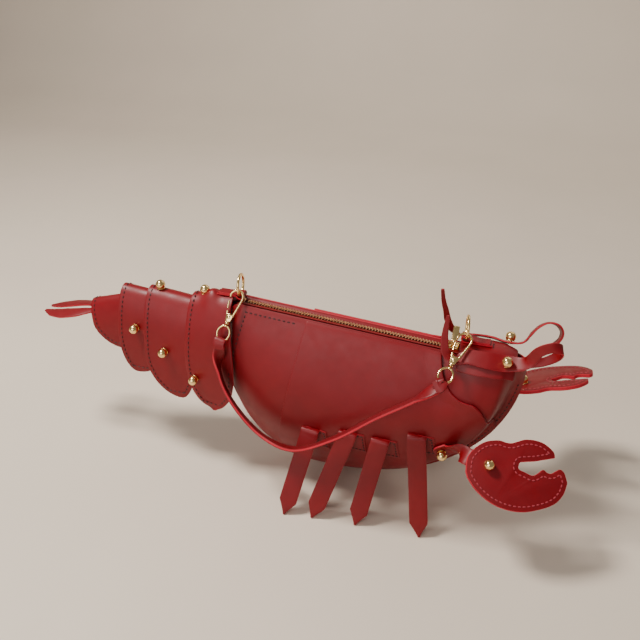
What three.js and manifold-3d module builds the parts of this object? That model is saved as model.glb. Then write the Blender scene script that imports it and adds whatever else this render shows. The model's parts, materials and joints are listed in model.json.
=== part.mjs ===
// A lobster-shaped leather clutch bag with a zip, a clip-on wrist strap and a riveted tail,
// claws and legs.
// Millimetres. +X runs towards the head, -Y is the front side, +Z is up. The origin is the middle of the
// straight stretch of the bottom seam that the bag stands on.
import * as THREE from 'three';
import { mergeVertices } from 'three/addons/utils/BufferGeometryUtils.js';
import Module from 'manifold-3d';

const wasm = await Module();
wasm.setup();
const V = (x, y, z) => new THREE.Vector3(x, y, z);
const SIDES = [['front', -1], ['back', 1]];

// Driving dimensions
const leather = 1.5; // one ply
const gap = 0.4; // between two pieces that touch
const pivotGap = 1.2; // between a rivet's inner cap and the leather that turns on it

const restLength = 20; // straight stretch of the bottom seam
const tailReach = 84; // quarter ellipse of the seam towards the tail
const tailRise = 112;
const headReach = 144; // quarter ellipse of the seam towards the head
const headRise = 135;
const rimHeight = 151.6; // top edge of the pouch at x = 0
const rimFall = 0.073; // drop of that edge for each millimetre towards the head
const tailDip = 8; // further drop of that edge inside the tail
const pouchHalfWidth = 34;
const zipHalfOpening = 6; // from the zip's centre line to the pouch's rim
const headHalfOpening = 13; // the same where the head begins
const flangeShare = 0.035; // share of the side's height that is flat seam allowance

const zipPitch = 2.4;
const toothWidth = 0.9;
const toothHeight = 2;
const toothMesh = 0.8; // how far each row reaches past the centre line
const zipTailEnd = -69;
const zipHeadEnd = 103;
const zipDepth = 1.2; // tooth centre below the rim
const sliderLength = 10;
const sliderX = 98;

const ballRadius = 4;
const shankRadius = 1.5;
const capRadius = 3;
const capThickness = 1;
const shankPlay = 0.4;

const ringRadius = 8.5;
const ringTube = 1.1;
const ringRise = 10.5; // ring centre above the leather under it
const ringYaw = THREE.MathUtils.degToRad(8);
const ringTailX = -74;
const ringHeadX = 107;
const tabWidth = 6;
const tabThickness = 1.3;

const strapWidth = 12;
const strapThickness = 2.6;
const legWidth = 14.5;
const legThickness = 2;
const clawThickness = 3;
const armWidth = 13;
const finThickness = 1.8;

const RED = { color: 0x8c1018, roughness: 0.42, metalness: 0 };
const DARK = { color: 0x3a1418, roughness: 0.8, metalness: 0 };
const GOLD = { color: 0xc9a35c, roughness: 0.22, metalness: 1 };

const bag = new THREE.Group();

// Closed meshes

function volumeOf(positions, index) {
  let volume = 0;
  const corner = (i) => V().fromArray(positions, index[i] * 3);
  for (let i = 0; i < index.length; i += 3)
    volume += corner(i).dot(corner(i + 1).cross(corner(i + 2))) / 6;
  return volume;
}

// A sheet between two surfaces, each a function of (u, v) from 0 to 1.
function slab(outer, inner, nu, nv) {
  const positions = [];
  const index = [];
  for (const surface of [outer, inner])
    for (let i = 0; i <= nu; i++)
      for (let j = 0; j <= nv; j++) positions.push(...surface(i / nu, j / nv).toArray());
  const at = (layer, i, j) => (layer * (nu + 1) + i) * (nv + 1) + j;
  const quad = (a, b, c, d) => index.push(a, b, c, a, c, d);
  for (let i = 0; i < nu; i++)
    for (let j = 0; j < nv; j++) {
      quad(at(0, i, j), at(0, i + 1, j), at(0, i + 1, j + 1), at(0, i, j + 1));
      quad(at(1, i, j), at(1, i, j + 1), at(1, i + 1, j + 1), at(1, i + 1, j));
    }
  for (let i = 0; i < nu; i++) {
    quad(at(0, i, 0), at(1, i, 0), at(1, i + 1, 0), at(0, i + 1, 0));
    quad(at(0, i, nv), at(0, i + 1, nv), at(1, i + 1, nv), at(1, i, nv));
  }
  for (let j = 0; j < nv; j++) {
    quad(at(0, 0, j), at(0, 0, j + 1), at(1, 0, j + 1), at(1, 0, j));
    quad(at(0, nu, j), at(1, nu, j), at(1, nu, j + 1), at(0, nu, j + 1));
  }
  if (volumeOf(positions, index) < 0) index.reverse();
  const geometry = new THREE.BufferGeometry();
  geometry.setAttribute('position', new THREE.Float32BufferAttribute(positions, 3));
  geometry.setIndex(index);
  return geometry;
}

// A strip along a curve: each stop is [point, direction that the strip faces, width].
function ribbon(stops, thickness, steps) {
  const path = new THREE.CatmullRomCurve3(stops.map((stop) => stop[0]));
  const last = stops.length - 1;
  const blend = (u, pick) => {
    const k = Math.min(last - 1, Math.floor(u * last));
    return [pick(stops[k]), pick(stops[k + 1]), u * last - k];
  };
  const surface = (side) => (u, v) => {
    const [faceA, faceB, f] = blend(v, (stop) => stop[1]);
    const [widthA, widthB] = blend(v, (stop) => stop[2]);
    const tangent = path.getTangent(v);
    const across = faceA.clone().lerp(faceB, f).cross(tangent).normalize();
    const facing = tangent.clone().cross(across).normalize();
    return path.getPoint(v)
      .addScaledVector(across, (u - 0.5) * THREE.MathUtils.lerp(widthA, widthB, f))
      .addScaledVector(facing, side * thickness / 2);
  };
  return slab(surface(1), surface(-1), 1, steps);
}

function solid(geometry) {
  const plain = geometry.clone();
  plain.deleteAttribute('normal');
  plain.deleteAttribute('uv');
  const merged = mergeVertices(plain, 1e-4);
  return new wasm.Manifold(new wasm.Mesh({
    numProp: 3,
    vertProperties: merged.attributes.position.array,
    triVerts: new Uint32Array(merged.index.array),
  }));
}

function geometryOf(manifold) {
  const mesh = manifold.getMesh();
  const geometry = new THREE.BufferGeometry();
  geometry.setAttribute('position', new THREE.Float32BufferAttribute(mesh.vertProperties, 3));
  geometry.setIndex([...mesh.triVerts]);
  return geometry;
}

function cut(geometry, ...tools) {
  return geometryOf(tools.reduce((rest, tool) => rest.subtract(solid(tool)), solid(geometry)));
}

function join(...geometries) {
  return geometryOf(geometries.map(solid).reduce((sum, next) => sum.add(next)));
}

function turnTo(axis) {
  return new THREE.Matrix4().makeRotationFromQuaternion(
    new THREE.Quaternion().setFromUnitVectors(V(0, 1, 0), axis.clone().normalize()));
}

function place(geometry, turn, position) {
  return geometry.applyMatrix4(turn).applyMatrix4(
    new THREE.Matrix4().makeTranslation(position.x, position.y, position.z));
}

function hole(position, axis, radius = shankRadius + shankPlay, length = 16) {
  return place(new THREE.CylinderGeometry(radius, radius, length, 8), turnTo(axis), position);
}

function box(x, y, z, sx, sy, sz) {
  return new THREE.BoxGeometry(sx, sy, sz).translate(x, y, z);
}

function extrude(points, depth, holes = []) {
  const shape = new THREE.Shape(points);
  shape.holes = holes.map((points) => new THREE.Path(points));
  return new THREE.ExtrudeGeometry(shape, { depth, bevelEnabled: false });
}

function add(name, geometry, look) {
  const mesh = new THREE.Mesh(geometry, new THREE.MeshStandardMaterial(look));
  mesh.name = name;
  bag.add(mesh);
}

function circle(x, y, radius, count, from = 0, to = 2 * Math.PI) {
  return Array.from({ length: count }, (_, i) => {
    const angle = from + (to - from) * i / count;
    return new THREE.Vector2(x + radius * Math.cos(angle), y + radius * Math.sin(angle));
  });
}

// The pouch's shape

const tailX = -restLength / 2 - tailReach;
const headX = restLength / 2 + headReach;
const smooth = THREE.MathUtils.smoothstep;

function alongSeam(x) {
  if (x < -restLength / 2) return Math.min(1, (-restLength / 2 - x) / tailReach);
  return Math.max(0, Math.min(1, (x - restLength / 2) / headReach));
}

function seamZ(x) {
  return (x < 0 ? tailRise : headRise) * (1 - Math.sqrt(1 - alongSeam(x) ** 2));
}

function rimZ(x) {
  return rimHeight - rimFall * x - tailDip * smooth(-x, 73, 85);
}

function rimHalf(x) {
  const opened = smooth(x, zipHeadEnd - 13, zipHeadEnd + 22);
  const open = THREE.MathUtils.lerp(zipHalfOpening, headHalfOpening, opened);
  const roundEnd = Math.max(0, (x - (headX - 24)) / 24);
  return open * Math.sqrt(Math.max(0, 1 - roundEnd ** 2));
}

// Half the pouch's outer width at a place on its side, lifted off the leather by lift.
function halfWidth(x, z, lift = 0) {
  const share = THREE.MathUtils.clamp((z - seamZ(x)) / (rimZ(x) - seamZ(x)), 0, 1);
  const above = Math.max(0, (share - flangeShare) / (1 - flangeShare));
  const fullness = Math.pow(1 - alongSeam(x) ** 2, x < 0 ? 0.5 : 0.36);
  const bulge = Math.pow(Math.max(0, Math.sin(Math.PI * Math.pow(above, 0.8))), 0.85);
  return gap / 2 + leather + pouchHalfWidth * fullness * bulge + rimHalf(x) * above ** 2 + lift;
}

function onSide(side, x, z, lift = 0) {
  return V(x, side * halfWidth(x, z, lift), z);
}

// The direction that the pouch's side faces at (x, z).
function facingOut(side, x, z) {
  const slopeX = halfWidth(x + 1, z) - halfWidth(x - 1, z);
  const slopeZ = halfWidth(x, z + 1) - halfWidth(x, z - 1);
  return V(-slopeX / 2, side, -slopeZ / 2).normalize();
}

// Rows up the side lie closer together near the seam, where the side turns outward quickly.
const sideRows = 11;
function rowShare(row) {
  return Math.pow(row / sideRows, 1.5);
}

// Saddles of the tail: each is half an elliptic tube over the ridge, between a tail-side edge and
// a head-side edge that run down to a round lobe on each side. The edges begin to close into
// the lobe where the tube has turned by lobeStart.

const segmentLift = 2.6; // between the ridges of two neighbouring segments
const tailRidge = 156;
const SEGMENTS = [
  { name: 'tail_segment_4', left: -116.5, right: -80, leftLean: -2, rightLean: 14, tip: -95,
    ridge: [0, 3.5], drop: 93, halfWidth: [30, 33.5], lobeStart: 47 },
  { name: 'tail_segment_3', left: -156.6, right: -112, leftLean: 0.2, rightLean: 2, tip: -125,
    ridge: [0, -5], drop: 92, halfWidth: [27, 27], lobeStart: 63 },
  { name: 'tail_segment_2', left: -181.9, right: -149, leftLean: -2.1, rightLean: 14, tip: -168,
    ridge: [-2, -5.5], drop: 74.3, halfWidth: [22, 22], lobeStart: 57.4 },
  { name: 'tail_segment_1', left: -215.4, right: -176, leftLean: 9.6, rightLean: 35.8, tip: -183.3,
    ridge: [-22, -10], drop: 36.5, halfWidth: [16, 16], lobeStart: 57.6 },
];

function segmentPoint(segment, turn, q, inset = 0) {
  const angle = Math.abs(turn);
  const fall = 1 - Math.cos(angle);
  const lobeStart = THREE.MathUtils.degToRad(segment.lobeStart);
  const closing = Math.max(0, (angle - lobeStart) / (Math.PI / 2 - lobeStart));
  const narrow = Math.sqrt(Math.max(0.01, 1 - closing ** 2));
  const edge = THREE.MathUtils.lerp(
    segment.left + segment.leftLean * fall, segment.right + segment.rightLean * fall, q);
  const x = segment.tip + (edge - segment.tip) * narrow;
  const ridge = tailRidge + THREE.MathUtils.lerp(...segment.ridge, q);
  const half = THREE.MathUtils.lerp(...segment.halfWidth, q);
  const normal = new THREE.Vector2(Math.sin(angle) / half, Math.cos(angle) / segment.drop).normalize();
  return V(
    x,
    Math.sign(turn) * (half * Math.sin(angle) - inset * normal.x),
    ridge - segment.drop * fall - inset * normal.y);
}

// The turn and place across a segment at (x, z), found by closing in on them.
function segmentAt(segment, side, x, z, inset = 0) {
  let q = 0.5;
  let turn = 1;
  for (let i = 0; i < 60; i++) {
    const point = segmentPoint(segment, side * turn, q, inset);
    q = THREE.MathUtils.clamp(q + (x - point.x) / 60, 0, 1);
    turn = THREE.MathUtils.clamp(turn + (point.z - z) / segment.drop / 1.5, 0.05, 1.56);
  }
  return segmentPoint(segment, side * turn, q, inset);
}

// Rivets: a round ball outside and a flat cap inside, on one shank.

function rivet(position, axis, shank, cap = capRadius) {
  const bottom = -shank - (cap > shankRadius ? capThickness : 0);
  const profile = [new THREE.Vector2(0, bottom), new THREE.Vector2(cap, bottom)];
  if (cap > shankRadius) {
    profile.push(new THREE.Vector2(cap, -shank));
    profile.push(new THREE.Vector2(shankRadius, -shank));
  }
  profile.push(new THREE.Vector2(shankRadius, 0));
  const start = Math.asin(-0.8);
  const steps = 4;
  for (let i = 0; i < steps; i++) {
    const angle = start + (Math.PI / 2 - start) * i / steps;
    profile.push(new THREE.Vector2(ballRadius * Math.cos(angle), ballRadius * (0.8 + Math.sin(angle))));
  }
  profile.push(new THREE.Vector2(0, ballRadius * 1.8));
  return place(new THREE.LatheGeometry(profile, 10), turnTo(axis), position);
}

// Pouch

// Columns of a side: even turns round each quarter ellipse, and one column over the straight stretch.
const tailColumns = 9;
const headColumns = 14;
const sideColumns = tailColumns + 1 + headColumns;
function columnX(column) {
  if (column <= tailColumns)
    return -restLength / 2 - tailReach * Math.cos(Math.PI / 2 * column / tailColumns);
  return restLength / 2 + headReach * Math.sin(Math.PI / 2 * (column - tailColumns - 1) / headColumns);
}

function pouchPanel(side) {
  const surface = (inset) => (u, v) => {
    const x = columnX(Math.round(u * sideColumns));
    return onSide(side, x, THREE.MathUtils.lerp(seamZ(x), rimZ(x), rowShare(v * sideRows)), -inset);
  };
  return slab(surface(0), surface(leather), sideColumns, sideRows);
}

// Right-hand edge of the overlay, as the place along X for each share of the side's height.
const overlayHeadEdge = new THREE.CatmullRomCurve3([
  V(139, 0, 0), V(138, 0.12, 0), V(135, 0.33, 0), V(129, 0.56, 0),
  V(121, 0.69, 0), V(111, 0.73, 0), V(101, 0.8, 0), V(94, 0.9, 0), V(91, 1, 0),
]);
function overlayRight(share) {
  let u = 0.5;
  for (let i = 0; i < 40; i++)
    u = THREE.MathUtils.clamp(u + (share - overlayHeadEdge.getPoint(u).y) / 2, 0, 1);
  return overlayHeadEdge.getPoint(u).x;
}
const overlayLeft = (share) => THREE.MathUtils.lerp(-42, -15, share);
const overlayGap = 1.1; // under the overlay, which spans its curved panel in flats
const overlayLift = overlayGap + leather;
const overlayFirstRow = 2;

function overlayPanel(side) {
  const surface = (lift) => (u, v) => {
    const share = rowShare(THREE.MathUtils.lerp(overlayFirstRow, sideRows, v));
    const x = THREE.MathUtils.lerp(overlayLeft(share), overlayRight(share), u);
    return onSide(side, x, THREE.MathUtils.lerp(seamZ(x), rimZ(x), share), lift);
  };
  return slab(surface(overlayLift), surface(overlayGap), 14, sideRows - overlayFirstRow);
}

// Legs, arms and rivets on the sides
const LEGS = [
  { fold: -3, foldZ: 69, tip: -17, reach: 71 },
  { fold: 28, foldZ: 73, tip: 6, reach: 68 },
  { fold: 54, foldZ: 71, tip: 42, reach: 65 },
  { fold: 82, foldZ: 80, tip: 94, reach: 62 },
];
// Arms and claws: where each arm's foot and each claw's rivet are, and how each claw lies. The two
// arms are alike in length, and the one at the back is thrown forward and lies flatter.
const ARMS = {
  front: {
    footX: 101, footZ: 69, claw: V(137, -54, 82),
    clawAxis: V(0.2, -0.6, 0.775).normalize(), clawAlong: V(1, 0, 0),
  },
  back: {
    footX: 114, footZ: 78, claw: V(156.9, 45, 88.1),
    clawAxis: V(-0.277, 0.24, 0.93).normalize(), clawAlong: V(0.906, 0.387, 0.17),
  },
};

const armGap = 1.3; // under the claw

const liningDrop = 5; // below the rim
const liningLift = 9; // above the seam
const liningPly = 0.8;
const liningGap = 4; // clears the rivets' inner caps

function lining() {
  const surface = (inset) => (u, v) => {
    const x = THREE.MathUtils.lerp(tailX + 18, headX - 18, u);
    const side = v < 0.5 ? -1 : 1;
    const share = Math.abs(v - 0.5) * 2;
    const low = seamZ(x) + liningLift;
    const z = THREE.MathUtils.lerp(low, rimZ(x) - liningDrop, share);
    const half = halfWidth(x, z, -leather - liningGap - inset);
    return V(x, side * half * Math.min(1, share * 4.01), z + (share < 0.2 ? inset : 0));
  };
  return slab(surface(0), surface(liningPly), 12, 16);
}

for (const [label, side] of SIDES) {
  const { footX, footZ } = ARMS[label];
  const arm = onSide(side, footX, footZ, overlayLift);
  const armAxis = facingOut(side, footX, footZ);
  add(`${label}_panel`, cut(pouchPanel(side), hole(arm, armAxis)), RED);
  add(`${label}_overlay`, cut(overlayPanel(side), hole(arm, armAxis)), RED);
}
add('lining', lining(), DARK);

// Head cap: a saddle over the head's open rim
const capBase = 126; // lower edge
const capTop = 151;
const capStart = 103.5;
const capEnd = headX - 8;

function capHeight(x) {
  return capTop - 4.5 * Math.max(0, (x - (capEnd - 22)) / 22) ** 3;
}

function capHalf(x) {
  let half = 0;
  for (let z = capBase; z <= rimZ(x); z += 1) {
    const fallen = (capHeight(x) - z) / (capHeight(x) - capBase);
    const turn = Math.acos(THREE.MathUtils.clamp(1 - fallen, 0, 1));
    half = Math.max(half, (halfWidth(x, z, leather + gap + 0.9)) / Math.sin(turn));
  }
  return half;
}

function capPoint(x, turn, inset = 0) {
  return V(
    x,
    (capHalf(x) - inset) * Math.sin(turn),
    capHeight(x) - inset - (capHeight(x) - capBase) * (1 - Math.cos(turn)));
}

const headRivetX = 139;
const headRivetTurn = THREE.MathUtils.degToRad(36);
const headRivetPlace = (side) => capPoint(headRivetX, side * headRivetTurn);

// The direction that the head cap faces.
function capFacing(x, turn) {
  return V(0, Math.sin(turn) / capHalf(x), Math.cos(turn) / (capHeight(x) - capBase)).normalize();
}
const headRivetAxis = (side) => capFacing(headRivetX, side * headRivetTurn);

function headCap() {
  const surface = (inset) => (u, v) =>
    capPoint(THREE.MathUtils.lerp(capStart, capEnd, u), (v - 0.5) * Math.PI, inset);
  return slab(surface(0), surface(leather), 9, 14);
}
const headHoles = SIDES.map(([, side]) =>
  hole(headRivetPlace(side), headRivetAxis(side), shankRadius + shankPlay, 10));
add('head_cap', cut(headCap(), ...headHoles), RED);

// Zip

const zipZ = (x) => rimZ(x) - zipDepth;
const zipSlope = Math.atan(rimFall);
const spineWidth = 1;
const spineInner = 2;

// Moves a shape drawn flat at the origin to the zip's line.
function onZip(geometry, x) {
  return geometry.applyMatrix4(new THREE.Matrix4().makeRotationY(zipSlope))
    .applyMatrix4(new THREE.Matrix4().makeTranslation(x, 0, zipZ(x)));
}

function teeth(side) {
  const length = zipHeadEnd - zipTailEnd;
  const count = Math.floor(length / zipPitch) - 1;
  const start = side > 0 ? zipPitch / 2 : 0;
  const outline = [V(0, side * (spineInner + spineWidth)), V(0, side * spineInner)];
  for (let i = 0; i < count; i++) {
    const x = start + 0.7 + i * zipPitch;
    outline.push(V(x, side * spineInner), V(x, -side * toothMesh));
    outline.push(V(x + toothWidth, -side * toothMesh), V(x + toothWidth, side * spineInner));
  }
  outline.push(V(length, side * spineInner), V(length, side * (spineInner + spineWidth)));
  const points = outline.map((p) => new THREE.Vector2(p.x, p.y));
  return onZip(extrude(points, toothHeight).translate(0, 0, -toothHeight / 2), zipTailEnd);
}

function zipTape(side) {
  const surface = (z) => (u, v) => {
    const x = THREE.MathUtils.lerp(zipTailEnd - 6, zipHeadEnd + 6, u);
    const y = THREE.MathUtils.lerp(spineInner - 0.6, zipHalfOpening - gap - 0.3, v);
    return V(x, side * y, zipZ(x) - toothHeight / 2 - gap + z);
  };
  return slab(surface(0), surface(-0.6), 2, 1);
}

for (const [label, side] of SIDES) {
  add(`zip_teeth_${label}`, teeth(side), GOLD);
  add(`zip_tape_${label}`, zipTape(side), RED);
}
for (const [label, x] of [['tail', zipTailEnd - 2.6], ['head', zipHeadEnd + 1.6]])
  add(`zip_stop_${label}`, onZip(box(0, 0, 0.1, 2, 5, toothHeight), x), GOLD);

const sliderPlate = 1;
const sliderInner = spineInner + spineWidth + gap;
const sliderTop = toothHeight / 2 + gap + sliderPlate;
const barRise = 2.6;
const barRadius = 0.8;
const pullLength = 16;
const pullWidth = 5;
const pullThickness = 1.2;
const pullTilt = THREE.MathUtils.degToRad(20);

function slider() {
  const wall = sliderInner + sliderPlate / 2;
  const plateWidth = 2 * sliderInner + 2 * sliderPlate;
  const pieces = [box(0, 0, sliderTop - sliderPlate / 2, sliderLength, plateWidth, sliderPlate)];
  for (const side of [-1, 1])
    pieces.push(box(0, side * wall, sliderTop / 2 - 0.4, sliderLength, sliderPlate, sliderTop + 0.8));
  for (const side of [-1, 1])
    pieces.push(box(side * 4, 0, sliderTop + barRise / 2, 1.4, 1.6, barRise + barRadius));
  pieces.push(new THREE.CylinderGeometry(barRadius, barRadius, 8, 8).rotateZ(Math.PI / 2)
    .translate(0, 0, sliderTop + barRise));
  return onZip(join(...pieces), sliderX);
}

const pullPivot = V(0, 0, sliderTop + barRise)
  .applyAxisAngle(V(0, 1, 0), zipSlope)
  .add(V(sliderX, 0, zipZ(sliderX)));

function pull() {
  const eye = 2.2;
  const outline = circle(0, 0, eye, 9, Math.PI / 6, 2 * Math.PI - Math.PI / 6);
  outline.push(new THREE.Vector2(pullLength, -pullThickness / 2));
  outline.push(new THREE.Vector2(pullLength, pullThickness / 2));
  const blank = extrude(outline, pullWidth, [circle(0, 0, barRadius + gap, 10).reverse()])
    .translate(0, 0, -pullWidth / 2);
  return blank.applyMatrix4(new THREE.Matrix4().makeBasis(V(0, 1, 0), V(0, 0, 1), V(1, 0, 0)))
    .rotateX(pullTilt).translate(pullPivot.x, pullPivot.y, pullPivot.z);
}

add('zip_slider', slider(), GOLD);
add('zip_pull', pull(), GOLD);

// Tail

const ballLift = 1.5; // of a side stud off the leather, so that the segments can swing
const RIVETS = [ // between segment k and the next one towards the tail
  { name: 'tail_rivet_4', outer: 0, x: -108, z: 91 },
  { name: 'tail_rivet_3', outer: 1, x: -137, z: 109 },
  { name: 'tail_rivet_2', outer: 2, x: -165, z: 124 },
];
const ridgeRivets = [
  { name: 'ridge_rivet_4', segment: 0, x: -106 },
  { name: 'ridge_rivet_3', segment: 1, x: -147 },
];

function segmentGeometry(segment) {
  // A sine spread gives the shorter steps that the round lobes need.
  const turn = (u) => Math.sin((u - 0.5) * Math.PI) * 0.4999 * Math.PI;
  const surface = (inset) => (u, v) => segmentPoint(segment, turn(u), v, inset);
  return slab(surface(0), surface(leather), 18, 3);
}

SEGMENTS.forEach((segment, k) => {
  const tools = [];
  for (const spot of RIVETS)
    if (spot.outer === k || spot.outer === k - 1)
      tools.push(hole(V(spot.x, 0, spot.z), V(0, 1, 0), shankRadius + shankPlay, 90));
  for (const spot of ridgeRivets)
    if (spot.segment === k)
      tools.push(hole(V(spot.x, 0, tailRidge), V(0, 0, 1), shankRadius + shankPlay, 24));
  add(segment.name, cut(segmentGeometry(segment), ...tools), RED);
});

for (const spot of RIVETS)
  for (const [label, side] of SIDES) {
    const over = segmentAt(SEGMENTS[spot.outer], side, spot.x, spot.z);
    const under = segmentAt(SEGMENTS[spot.outer + 1], side, spot.x, spot.z, leather);
    const outer = Math.abs(over.y) + ballLift;
    const stack = outer - Math.abs(under.y) + pivotGap;
    add(`${spot.name}_${label}`, rivet(V(spot.x, side * outer, spot.z), V(0, side, 0), stack), GOLD);
  }
for (const spot of ridgeRivets) {
  const segment = SEGMENTS[spot.segment];
  const q = (spot.x - segment.left) / (segment.right - segment.left);
  const top = segmentPoint(segment, 0.0001, q).z + gap;
  add(spot.name, rivet(V(spot.x, 0, top), V(0, 0, 1), leather + gap, shankRadius), GOLD);
}

for (const [label, side] of SIDES) {
  const face = V(0.1, side * 0.12, 0.98);
  const leaf = ribbon([
    [V(-204, side * 3.6, 126), face, 5],
    [V(-217, side * 5.4, 124), face, 6],
    [V(-230, side * 8.5, 121.5), face, 11],
    [V(-244, side * 9, 118.5), face, 13],
    [V(-257, side * 7, 116), face, 9.5],
    [V(-266, side * 4.2, 114.8), face, 2.5],
  ], finThickness, 10);
  add(`tail_fin_${label}`, leaf, RED);
}

// Rings, tabs, hooks and strap

const ringTailCentre = V(ringTailX, 0, tailRidge + SEGMENTS[0].ridge[1] + ringRise);
const ringHeadCentre = V(ringHeadX, 0, capTop + ringRise + 2);
const strapAxis = ringHeadCentre.clone().sub(ringTailCentre).normalize();

function ring(centre) {
  const turn = new THREE.Matrix4().makeRotationY(Math.PI / 2)
    .premultiply(new THREE.Matrix4().makeRotationZ(ringYaw));
  return place(new THREE.TorusGeometry(ringRadius, ringTube, 6, 20), turn, centre);
}

// A leather tab that lies on the ridge and folds round the ring's lowest point.
function tab(centre, direction, top) {
  const eyeZ = centre.z - ringRadius;
  const inner = ringTube + 1.3;
  const outer = inner + tabThickness;
  const strapTop = top + gap + 2 * tabThickness;
  const body = join(
    extrude(circle(centre.x, eyeZ, outer, 16), tabWidth),
    extrude([
      new THREE.Vector2(centre.x + direction * (outer - 1), top + gap),
      new THREE.Vector2(centre.x + direction * 20, top + gap),
      new THREE.Vector2(centre.x + direction * 20, strapTop),
      new THREE.Vector2(centre.x + direction * (outer - 1), strapTop),
    ], tabWidth));
  const cutter = extrude(circle(centre.x, eyeZ, inner, 12), tabWidth + 2).translate(0, 0, -1);
  return cut(body, cutter)
    .applyMatrix4(new THREE.Matrix4().makeRotationX(Math.PI / 2))
    .translate(0, tabWidth / 2, 0);
}

add('ring_tail', ring(ringTailCentre), GOLD);
add('ring_head', ring(ringHeadCentre), GOLD);
add('tab_tail', tab(ringTailCentre, -1, tailRidge + 3.5), RED);
add('tab_head', tab(ringHeadCentre, 1, capTop), RED);

// A trigger hook drawn flat: x across, y away from the ring, y = 0 where the ring passes through.
const hookThickness = 2;
const hookWire = 1.8;
const hookLoop = 6.2; // outer radius of the loop
const hookLoopTop = -3.1 - hookWire / 2;
const bossStart = 18;
const bossEnd = 23;
const stubEnd = 25.5;
const eyeStart = stubEnd + gap;
const eyeEnd = 40;
const gateLow = 6;
const gateHigh = 14;

const stubWidth = 2.4;
const gateCutWidth = 8.6; // wide enough for the gate to swing inwards

function hookShape(radius, end, half) {
  const centre = hookLoopTop + hookLoop;
  const points = circle(0, centre, radius, 10, Math.PI + 0.15, 2 * Math.PI + 0.2);
  points.push(new THREE.Vector2(radius, centre + 1), new THREE.Vector2(half, end));
  points.push(new THREE.Vector2(-half, end), new THREE.Vector2(-radius, centre + 1));
  return points;
}

function hook() {
  const inner = hookShape(hookLoop - hookWire, bossStart, 1.4).reverse();
  const frame = extrude(hookShape(hookLoop, bossEnd, 3), hookThickness, [inner]);
  const stubLength = stubEnd - bossEnd + 0.5; // half a millimetre of it lies in the boss
  const stub = box(0, stubEnd - stubLength / 2, hookThickness / 2, stubWidth, stubLength, hookThickness);
  const gateMiddle = (gateLow + gateHigh) / 2;
  const gateCut = box(-hookLoop, gateMiddle, hookThickness / 2, gateCutWidth, gateHigh - gateLow, 4);
  return cut(join(frame, stub), gateCut)
    .translate(0, 0, -hookThickness / 2);
}

const gatePivot = V(-4.35, gateHigh - 1.4, 0);
function gate() {
  return box(0, -(gateHigh - gateLow - 2.2) / 2 + 0.4, 0, 1.5, gateHigh - gateLow - 1.8, 1.6)
    .rotateZ(0.06).translate(gatePivot.x - 0.45, gatePivot.y, 0);
}

function eye() {
  const middle = (eyeStart + eyeEnd) / 2;
  const oval = (half) => circle(0, 0, 1, 20).map((p) => new THREE.Vector2(
    p.x * (half - 1), middle + p.y * (half + (eyeEnd - eyeStart) / 2 - 7)));
  const outer = oval(7);
  const inner = oval(5.4).reverse();
  return extrude(outer, hookThickness, [inner]).translate(0, 0, -hookThickness / 2);
}

const contactTurn = THREE.MathUtils.degToRad(38); // below level, where each hook holds its ring
const HANGERS = [
  { label: 'tail', centre: ringTailCentre, down: THREE.MathUtils.degToRad(55), lean: -0.2 },
  { label: 'head', centre: ringHeadCentre, down: THREE.MathUtils.degToRad(36), lean: -0.3 },
];

// The hook's own axes in the bag's frame: across, away from the ring, and through its thickness.
function hangerFrame({ centre, down, lean }) {
  const contact = centre.clone().add(
    V(0, -ringRadius * Math.cos(contactTurn), -ringRadius * Math.sin(contactTurn)));
  const away = V(lean, -Math.cos(down), -Math.sin(down)).normalize();
  const across = strapAxis.clone().addScaledVector(away, -strapAxis.dot(away)).normalize();
  return new THREE.Matrix4().makeBasis(across, away, across.clone().cross(away)).setPosition(contact);
}

const strapEnds = [];
for (const hanger of HANGERS) {
  const frame = hangerFrame(hanger);
  add(`hook_${hanger.label}`, hook().applyMatrix4(frame), GOLD);
  add(`hook_gate_${hanger.label}`, gate().applyMatrix4(frame), GOLD);
  add(`strap_eye_${hanger.label}`, eye().applyMatrix4(frame), GOLD);
  strapEnds.push(V(0, eyeEnd + 2.2, 0).applyMatrix4(frame));
}

const strapFace = V(0, -0.87, 0.5);
const strap = ribbon([
  [strapEnds[0], V(0.1, -0.8, 0.6), 8],
  [V(-82, -36, 108), strapFace, strapWidth],
  [V(-70, -43, 86), strapFace, strapWidth],
  [V(-42, -50, 62), strapFace, strapWidth],
  [V(-12, -57, 61), strapFace, strapWidth],
  [V(22, -55, 80), strapFace, strapWidth],
  [V(53, -49, 104), strapFace, strapWidth],
  [V(79, -44, 122), strapFace, strapWidth],
  [strapEnds[1], V(-0.1, -0.62, 0.78), 8],
], strapThickness, 36);
add('strap', strap, RED);

// Legs, arms, claws and antennae

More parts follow.
